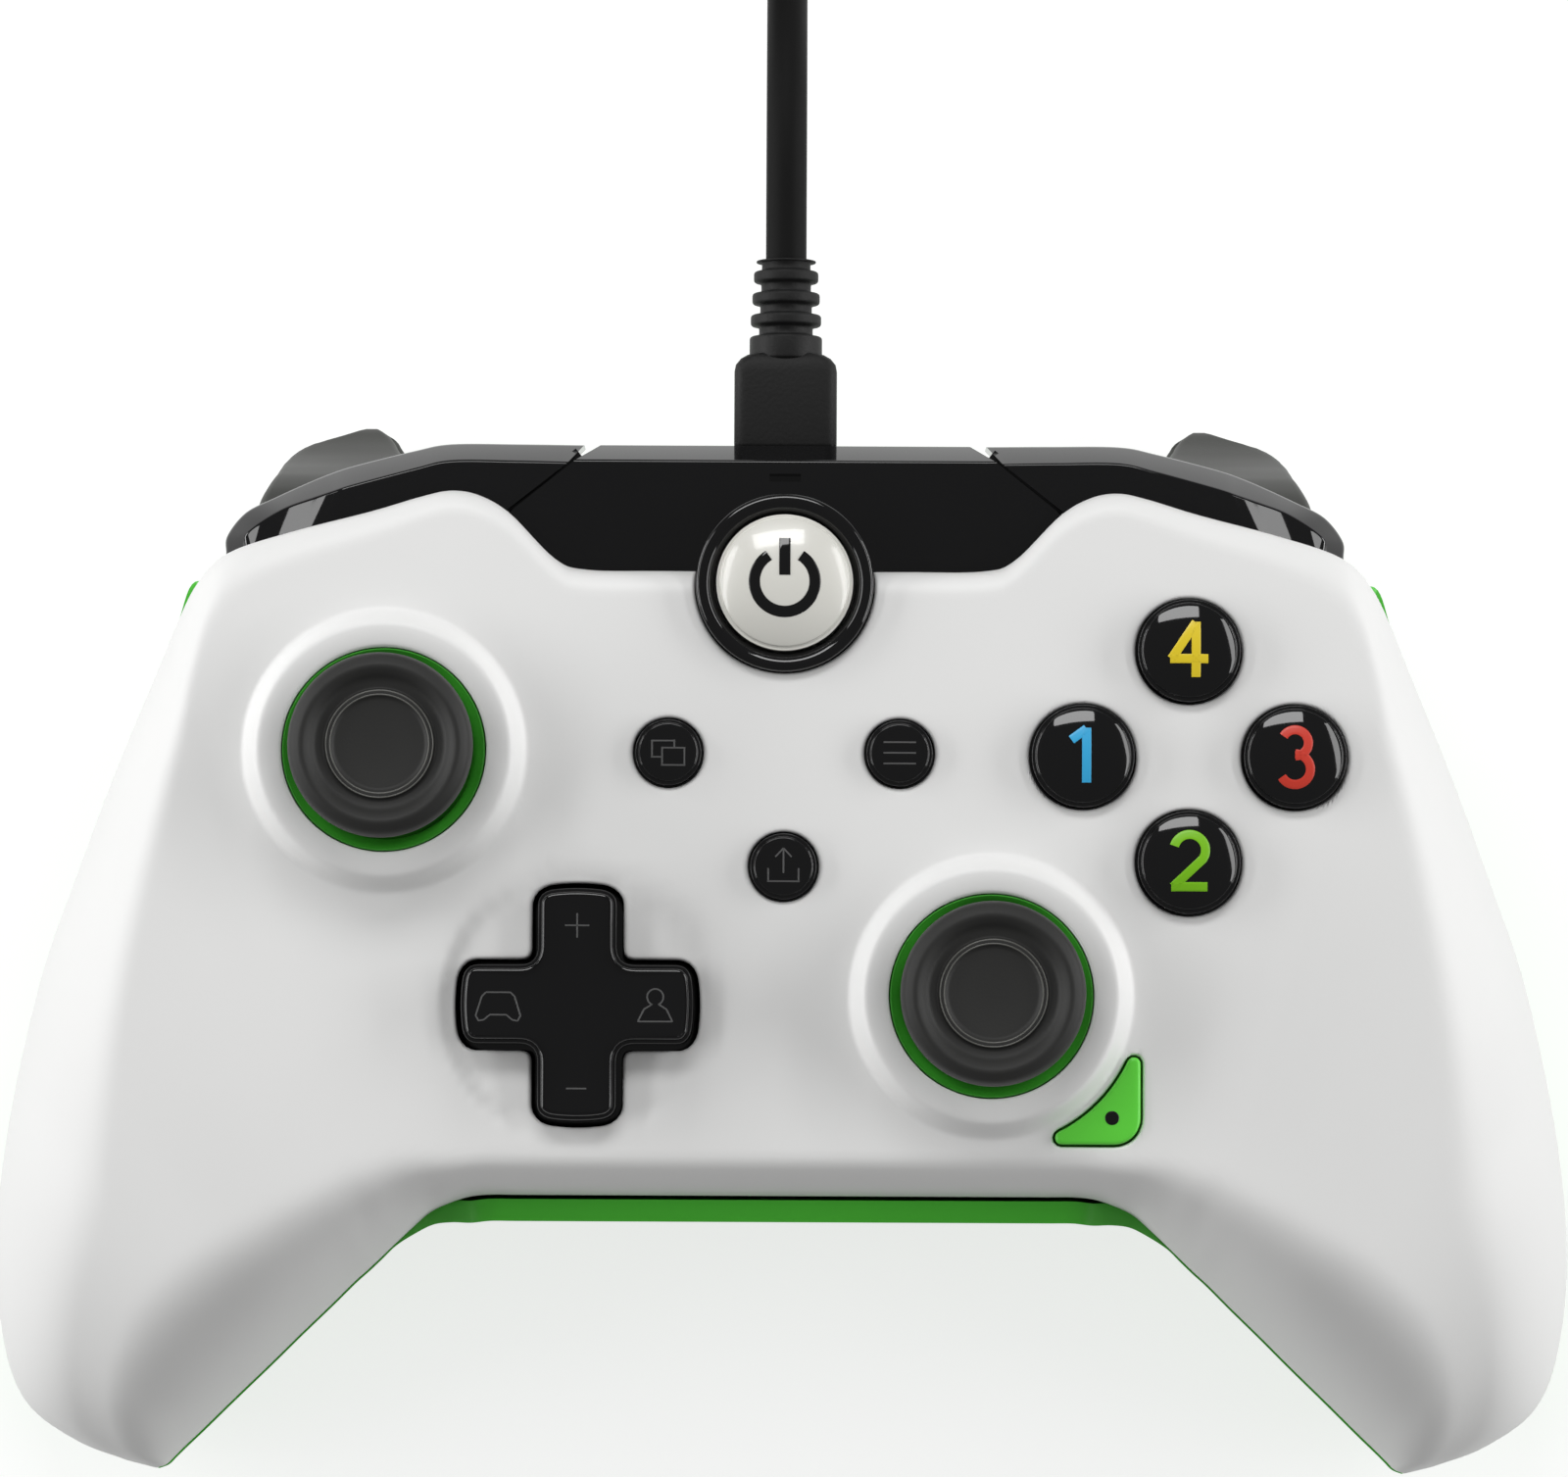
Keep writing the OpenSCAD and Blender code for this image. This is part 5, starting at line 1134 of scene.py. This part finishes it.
class GAMEPAD_OT_function_button(Operator):
    """Make the green function button with its small dark light window"""

    bl_idname = "gamepad.function_button"
    bl_label = "Function button"

    def execute(self, context):
        top, foot, shoulder = FACE + 0.4, 39.0, 40.2
        steps = [[0.45, foot], [0.45, shoulder], [0, shoulder], [0, top - 0.35], [-0.05, top - 0.16],
                 [-0.17, top - 0.04], [-0.36, top]]
        loops = loop_stack(function_loop(), steps)
        shape = Shape()
        shape.grid(loops)
        capped(shape, loops[-1, :, :2], lambda x, y: np.full(x.shape, top), 0.9)
        capped(shape, loops[0, :, :2], lambda x, y: np.full(x.shape, foot), 2)
        stem = [[0, 30.8], [1.6, 30.8], [1.6, foot + 0.2], [0, foot + 0.2]]
        shape.turned(stem, (32, -16.8), 32)
        window = [[0, top - 0.4], [0.7, top - 0.4], [0.7, top + 0.03], [0.5, top + 0.08], [0, top + 0.1]]
        shape.turned(rounded(window, 0.05, 3), (32.4, -17.8), 40, paint=1)
        lime = finish("lime", context.scene.gamepad_controls.function_colour, 0.34, 0.0005, 0.00001, 0.04)
        put(shape.mesh("function_button"), "function_key", [lime, gloss_black(context)],
            "function_button", ["function_button"])
        return {"FINISHED"}


# Cable


def coil_points(turn):
    """Centre line of the coil at each turn count: the radius shrinks and grows at a steady rate as the layers wind
    in and out, and each climb to the next layer is half a cosine wave."""
    layer = LAYER_TURNS + CLIMB_TURNS
    w = turn + CLIMB_TURNS / 2
    m = np.floor(w / layer)
    g = w - m * layer
    widest = COIL_R + COIL_PITCH * CLIMB_TURNS / 2
    radius = widest - COIL_PITCH * np.where(m % 2 == 0, g, layer - g)
    k = np.floor(turn / layer)
    f = np.maximum(0, (turn - k * layer - LAYER_TURNS) / CLIMB_TURNS)
    z = CABLE_FLOOR + COIL_PITCH * (k + (1 - np.cos(np.pi * f)) / 2)
    q = 2 * np.pi * turn
    return np.column_stack([COIL_AT[0] + radius * np.cos(q), COIL_AT[1] + radius * np.sin(q), z])


def cable_route():
    """Centre line of the whole cable, plug to plug: cubic curves through the lead, the coil and the tail."""
    coil = coil_points(np.linspace(0, COIL_TURNS, COIL_TURNS * 24 + 1))
    start, end = coil[0] - [0, COIL_EASE, 0], coil[-1] + [0, COIL_EASE, 0]
    knots = np.vstack([LEAD_PATH, start, coil, end, end + [0, 5, 0], TAIL_PATH])
    return table_at(knots, np.linspace(0, len(knots) - 1, (len(knots) - 1) * 2 + 1))


def tube_loops(path, radius, sides):
    """Rings round a path, square to it, with the first point to the right of it."""
    run = unit(np.gradient(path, axis=0))
    right = unit(np.cross(run, [0, 0, 1]))
    up = np.cross(right, run)
    q = np.linspace(0, 2 * np.pi, sides, endpoint=False)[:, None]
    return path[:, None] + radius * (np.cos(q) * right[:, None] + np.sin(q) * up[:, None])


def slab_loops(stations, at, way, ease):
    """Rounded rectangles along Y, in one way or the other from a point, at stations of a plug."""
    x, y, z = at
    loops = []
    for d, w, h in stations:
        corners = [[x - w, z - h], [x + w, z - h], [x + w, z + h], [x - w, z + h]]
        loops.append(np.insert(rounded(corners, min(ease, 0.9 * w, 0.9 * h), 6, True), 1, y + way * d, axis=1))
    return np.array(loops)


def plug_shape():
    """Moulded plug with its relief, whose ribs get smaller towards the cable."""
    first, pitch, end = 60.95, 2.2, LEAD_PATH[0][1]
    outline = [[0, 58.5], [3.65, 58.5], [3.65, first - 0.05]]
    for k, (core, out) in enumerate(RIBS):
        at = first + pitch * k
        tip = end if k == len(RIBS) - 1 else at + pitch - 0.05
        outline += [[core, at], [core, at + 0.95], [out, at + 1.05], [out, tip]]
    outline += [[0, end]]
    shape = Shape()
    shape.loft(slab_loops(PLUG_STATIONS, (0, PLUG_BACK, PLUG_Z), 1, 1.3))
    shape.turned(rounded(outline, 0.3, 4), (0, PLUG_Z), 64, along_y=True)
    return shape


def tie_shape(low, high):
    """Flat strap round a box between two corners, open along Y."""
    wall, ease, margin = 0.75, 2.2, 0.2
    rings = []
    for inset in (0, wall):
        left, right, foot, top = low.x + inset, high.x - inset, low.z + inset, high.z - inset
        corners = [[left, foot], [right, foot], [right, top], [left, top]]
        rings.append(rounded(corners, ease - inset, 6, True))
    near, far = low.y + margin, high.y - margin
    band = [(rings[0], near), (rings[0], far), (rings[1], far), (rings[1], near), (rings[0], near)]
    shape = Shape()
    shape.grid(np.array([np.insert(ring, 1, y, axis=1) for ring, y in band]))
    return shape


class GAMEPAD_OT_cable(Operator):
    """Make the plug, its ribbed relief, the cable with its coil, the far plug and the tie"""

    bl_idname = "gamepad.cable"
    bl_label = "Cable"

    def execute(self, context):
        cable = context.scene.gamepad_cable
        moulding = black_moulding(context)
        put(plug_shape().mesh("cable_plug"), "cable_plug_moulding", [moulding], "controller",
            ["cable_plug"])
        route = cable_route()
        cord = Shape()
        cord.loft(tube_loops(route, cable.diameter / 2 / MM, 14))
        skin = finish("cable_rubber", cable.cable_colour, 0.6, 0.0012, 0.00002, 0.07, shine=0.12)
        lead = put(cord.mesh("cable", 60), "cable_cord", [skin], "controller",
                   ["cable_lead", "cable_coil", "cable_tail"])
        far = Shape()
        far.loft(slab_loops(USB_STATIONS, TAIL_PATH[-1], -1, 1.6))
        end = put(far.mesh("usb_plug"), "usb_plug_moulding", [moulding], "controller", ["usb_plug"])
        shell = dress("usb_plug_shell", steel())
        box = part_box("cable_tie")
        strap = tie_shape(Vector(box[0]) / MM, Vector(box[1]) / MM)
        tie_skin = finish("tie_strap", cable.moulding_colour, 0.65, 0.0004, 0.00006, 0.1)
        tie = put(strap.mesh("cable_tie"), "cable_tie_strap", [tie_skin], "controller",
                  ["cable_tie"])
        return {"FINISHED"}


class GAMEPAD_OT_inside(Operator):
    """Give the working parts inside the shells their finishes"""

    bl_idname = "gamepad.inside"
    bl_label = "Inside"

    def execute(self, context):
        dark = finish("frame_black", tone(48, 48, 50), 0.5, 0.0005, 0.00002, 0.08)
        metal = steel()
        brass = finish("brass_weight", tone(181, 150, 80), 0.35, 0.0008, 0.00001, 0.08, metallic=1.0)
        rubber = finish("silicone", tone(88, 88, 90), 0.55, 0.0005, 0.00003, 0.06)
        board = finish("circuit_board", tone(14, 74, 40), 0.35, 0.0015, 0.00004, 0.35, coat=0.3)
        groups = {
            dark: ["left_trigger_frame", "right_trigger_frame", "left_stick_base", "right_stick_base", "dpad_post",
                   "headset_jack", "switches", "left_stick_yoke", "right_stick_yoke"],
            metal: ["trigger_pins", "trigger_springs", "left_stick_ball", "right_stick_ball", "left_stick_shaft",
                    "right_stick_shaft", "dpad_pivot", "usb_socket", "left_rumble_motor", "right_rumble_motor",
                    "shell_screws", "board_screws", "cable_plug_tip"],
            brass: ["left_rumble_weight", "right_rumble_weight"],
            rubber: ["face_keypad", "centre_keypad", "dpad_keypad"],
            board: ["main_board"],
        }
        for material, names in groups.items():
            for name in names:
                dress(name, material)
        return {"FINISHED"}


def floor_paper(stage):
    """Pale paper that is lifted to white only for rays that see it, straight, mirrored or through something: it adds
    no light to the object and keeps the shadow."""
    paper = finish("floor", stage.floor_colour, 0.9, 0.01, 0.00001, 0.005)
    tree = paper.node_tree
    path = shader_node(tree, "LightPath")
    mirrored, seen, lift = (shader_node(tree, "Math") for _ in range(3))
    lift.operation = "MULTIPLY"
    lift.inputs[1].default_value = stage.floor_lift
    shader = tree.nodes["Principled BSDF"]
    shader.inputs["Emission Color"].default_value = (1, 1, 1, 1)
    for start, end in (
        (path.outputs["Is Glossy Ray"], mirrored.inputs[0]),
        (path.outputs["Is Transmission Ray"], mirrored.inputs[1]),
        (path.outputs["Is Camera Ray"], seen.inputs[0]),
        (mirrored.outputs["Value"], seen.inputs[1]),
        (seen.outputs["Value"], lift.inputs[0]),
        (lift.outputs["Value"], shader.inputs["Emission Strength"]),
    ):
        tree.links.new(start, end)
    return paper


class GAMEPAD_OT_stage(Operator):
    """Set the pale floor, the soft studio lights and the camera"""

    bl_idname = "gamepad.stage"
    bl_label = "Stage"

    def execute(self, context):
        stage = context.scene.gamepad_stage
        scene = context.scene
        scene.view_settings.view_transform = "Standard"
        ground = bpy.data.meshes.new("floor")
        corners = [(FLOOR_HALF * x, FLOOR_HALF * y, 0) for x, y in ((-1, -1), (1, -1), (1, 1), (-1, 1))]
        ground.from_pydata(corners, [], [(0, 1, 2, 3)])
        floor = bpy.data.objects.new("floor", ground)
        floor.location.z = -FLOOR_DROP
        scene.collection.objects.link(floor)
        ground.materials.append(floor_paper(stage))
        world = bpy.data.worlds.new("studio")
        world.use_nodes = True
        sky = world.node_tree.nodes["Background"]
        sky.inputs["Color"].default_value = (1, 1, 1, 1)
        sky.inputs["Strength"].default_value = stage.fill
        scene.world = world
        for name, (spot, size, share) in LAMPS.items():
            lamp = bpy.data.lights.new(name, "AREA")
            lamp.shape = "RECTANGLE"
            lamp.size, lamp.size_y = size
            lamp.energy = share * stage.key
            light = bpy.data.objects.new(name, lamp)
            light.location = spot
            light.rotation_mode = "QUATERNION"
            light.rotation_quaternion = (TARGET - Vector(spot)).to_track_quat("-Z", "Y")
            scene.collection.objects.link(light)
        lens = bpy.data.cameras.new("camera")
        lens.lens, lens.sensor_width = stage.lens, 36
        camera = bpy.data.objects.new("camera", lens)
        lean = Vector((0, -math.sin(stage.tilt), math.cos(stage.tilt)))
        camera.location = TARGET + lean * stage.distance
        camera.rotation_mode = "QUATERNION"
        camera.rotation_quaternion = (-lean).to_track_quat("-Z", "Y") @ Quaternion((0, 0, 1), stage.roll)
        scene.collection.objects.link(camera)
        scene.camera = camera
        return {"FINISHED"}


# Settings and panel


def colour(name, description, default):
    """Colour setting."""
    return FloatVectorProperty(
        name=name, description=description, subtype="COLOR", size=3, min=0, max=1, default=default
    )


def length(name, description, default, low, high):
    """Length setting, in metres."""
    return FloatProperty(
        name=name, description=description, default=default, min=low, max=high, unit="LENGTH", precision=5
    )


class GAMEPAD_PG_shell(PropertyGroup):
    """Sizes and colours of the shells, the bridge and the bumpers."""

    front_colour: colour("Front shell", "Colour of the front shell", tone(236, 236, 235))
    rear_colour: colour("Rear shell", "Colour of the rear shell", tone(78, 200, 52))
    gloss_colour: colour("Gloss black", "Colour of the bridge, bumpers and buttons", tone(12, 12, 13))
    wall: length("Wall", "Wall of both shells", 0.0022, 0.001, 0.003)
    lip: length("Lip", "Radius of the rounded lips of the holes", 0.00035, 0.0001, 0.0006)


class GAMEPAD_PG_controls(PropertyGroup):
    """Sizes and colours of the sticks, the pad, the buttons and the triggers."""

    cap_colour: colour("Stick caps", "Colour of the rubber stick caps", tone(41, 41, 40))
    # Darker than the rear shell's green: painted shade for the deep stick wells
    ring_shaded_colour: colour("Stick rings", "Colour of the rings in the stick wells", tone(56, 150, 40))
    trigger_colour: colour("Triggers", "Colour of the triggers", tone(62, 63, 60))
    function_colour: colour("Function button", "Colour of the function button", tone(100, 222, 66))
    dome_colour: colour("Guide dome", "Colour of the guide button", tone(222, 221, 214))
    top_mark: colour("Top number", "Colour of the top button's number", tone(228, 202, 40))
    left_mark: colour("Left number", "Colour of the left button's number", tone(55, 170, 222))
    right_mark: colour("Right number", "Colour of the right button's number", tone(205, 60, 45))
    bottom_mark: colour("Bottom number", "Colour of the bottom button's number", tone(122, 192, 22))
    mark_width: length("Number stroke", "Width of the numbers' strokes", 0.0009, 0.0003, 0.0015)
    mark_lift: length("Mark lift", "Height of raised marks above their button", 0.00006, 0.00002, 0.0003)
    pad_dish: length("Pad dish", "Depth of the dish in the direction pad", 0.0007, 0, 0.0012)


class GAMEPAD_PG_cable(PropertyGroup):
    """Size and colours of the cable and its plugs."""

    diameter: length("Cable", "Thickness of the cable", 0.0041, 0.0036, 0.0044)
    cable_colour: colour("Cable", "Colour of the cable", tone(14, 14, 14))
    moulding_colour: colour("Plugs", "Colour of the plugs and the tie", tone(20, 20, 20))


class GAMEPAD_PG_stage(PropertyGroup):
    """Floor, lights and camera."""

    floor_colour: colour("Floor", "Colour of the floor", (0.35, 0.35, 0.35))
    floor_lift: FloatProperty(
        name="Floor lift", description="White added to the floor where it is seen", default=0.75, min=0, max=1
    )
    fill: FloatProperty(
        name="Fill light", description="Strength of the light from all round", default=0.19, min=0, max=5
    )
    key: FloatProperty(
        name="Key light", description="Power that the lamps share in", default=5, min=0, max=200, unit="POWER"
    )
    distance: length("Camera distance", "From the camera to the gamepad", 0.8, 0.3, 3)
    lens: FloatProperty(name="Lens", description="Focal length in millimetres", default=183.3, min=20, max=400)
    tilt: FloatProperty(
        name="Camera tilt", description="Lean of the view from straight down", default=math.radians(3.8),
        min=0, max=1.5, unit="ROTATION", subtype="ANGLE",
    )
    roll: FloatProperty(
        name="Camera roll", description="Turn of the picture", default=math.radians(0.27),
        min=-1, max=1, unit="ROTATION", subtype="ANGLE",
    )


STEPS = (
    GAMEPAD_OT_stage, GAMEPAD_OT_cable, GAMEPAD_OT_front_shell, GAMEPAD_OT_rear_shell, GAMEPAD_OT_bridge,
    GAMEPAD_OT_bumpers, GAMEPAD_OT_triggers, GAMEPAD_OT_guide, GAMEPAD_OT_sticks, GAMEPAD_OT_direction_pad,
    GAMEPAD_OT_face_buttons, GAMEPAD_OT_system_buttons, GAMEPAD_OT_function_button, GAMEPAD_OT_inside,
)
GROUPS = {
    "gamepad_shell": GAMEPAD_PG_shell,
    "gamepad_controls": GAMEPAD_PG_controls,
    "gamepad_cable": GAMEPAD_PG_cable,
    "gamepad_stage": GAMEPAD_PG_stage,
}


class GAMEPAD_PT_panel(Panel):
    """Gamepad settings and steps"""

    bl_idname = "GAMEPAD_PT_panel"
    bl_label = "Wired gamepad"
    bl_space_type = "VIEW_3D"
    bl_region_type = "UI"
    bl_category = "Gamepad"

    def draw(self, context):
        for name, group in GROUPS.items():
            box = self.layout.box()
            for setting in group.__annotations__:
                box.prop(getattr(context.scene, name), setting)
        for step in STEPS:
            self.layout.operator(step.bl_idname)


CLASSES = (*GROUPS.values(), *STEPS, GAMEPAD_PT_panel)


def register():
    for cls in CLASSES:
        bpy.utils.register_class(cls)
    for name, group in GROUPS.items():
        setattr(bpy.types.Scene, name, PointerProperty(type=group))


def unregister():
    for name in GROUPS:
        delattr(bpy.types.Scene, name)
    for cls in reversed(CLASSES):
        bpy.utils.unregister_class(cls)


def main():
    register()
    for step in STEPS:
        getattr(bpy.ops.gamepad, step.bl_idname.split(".")[1])()


if __name__ == "__main__":
    main()
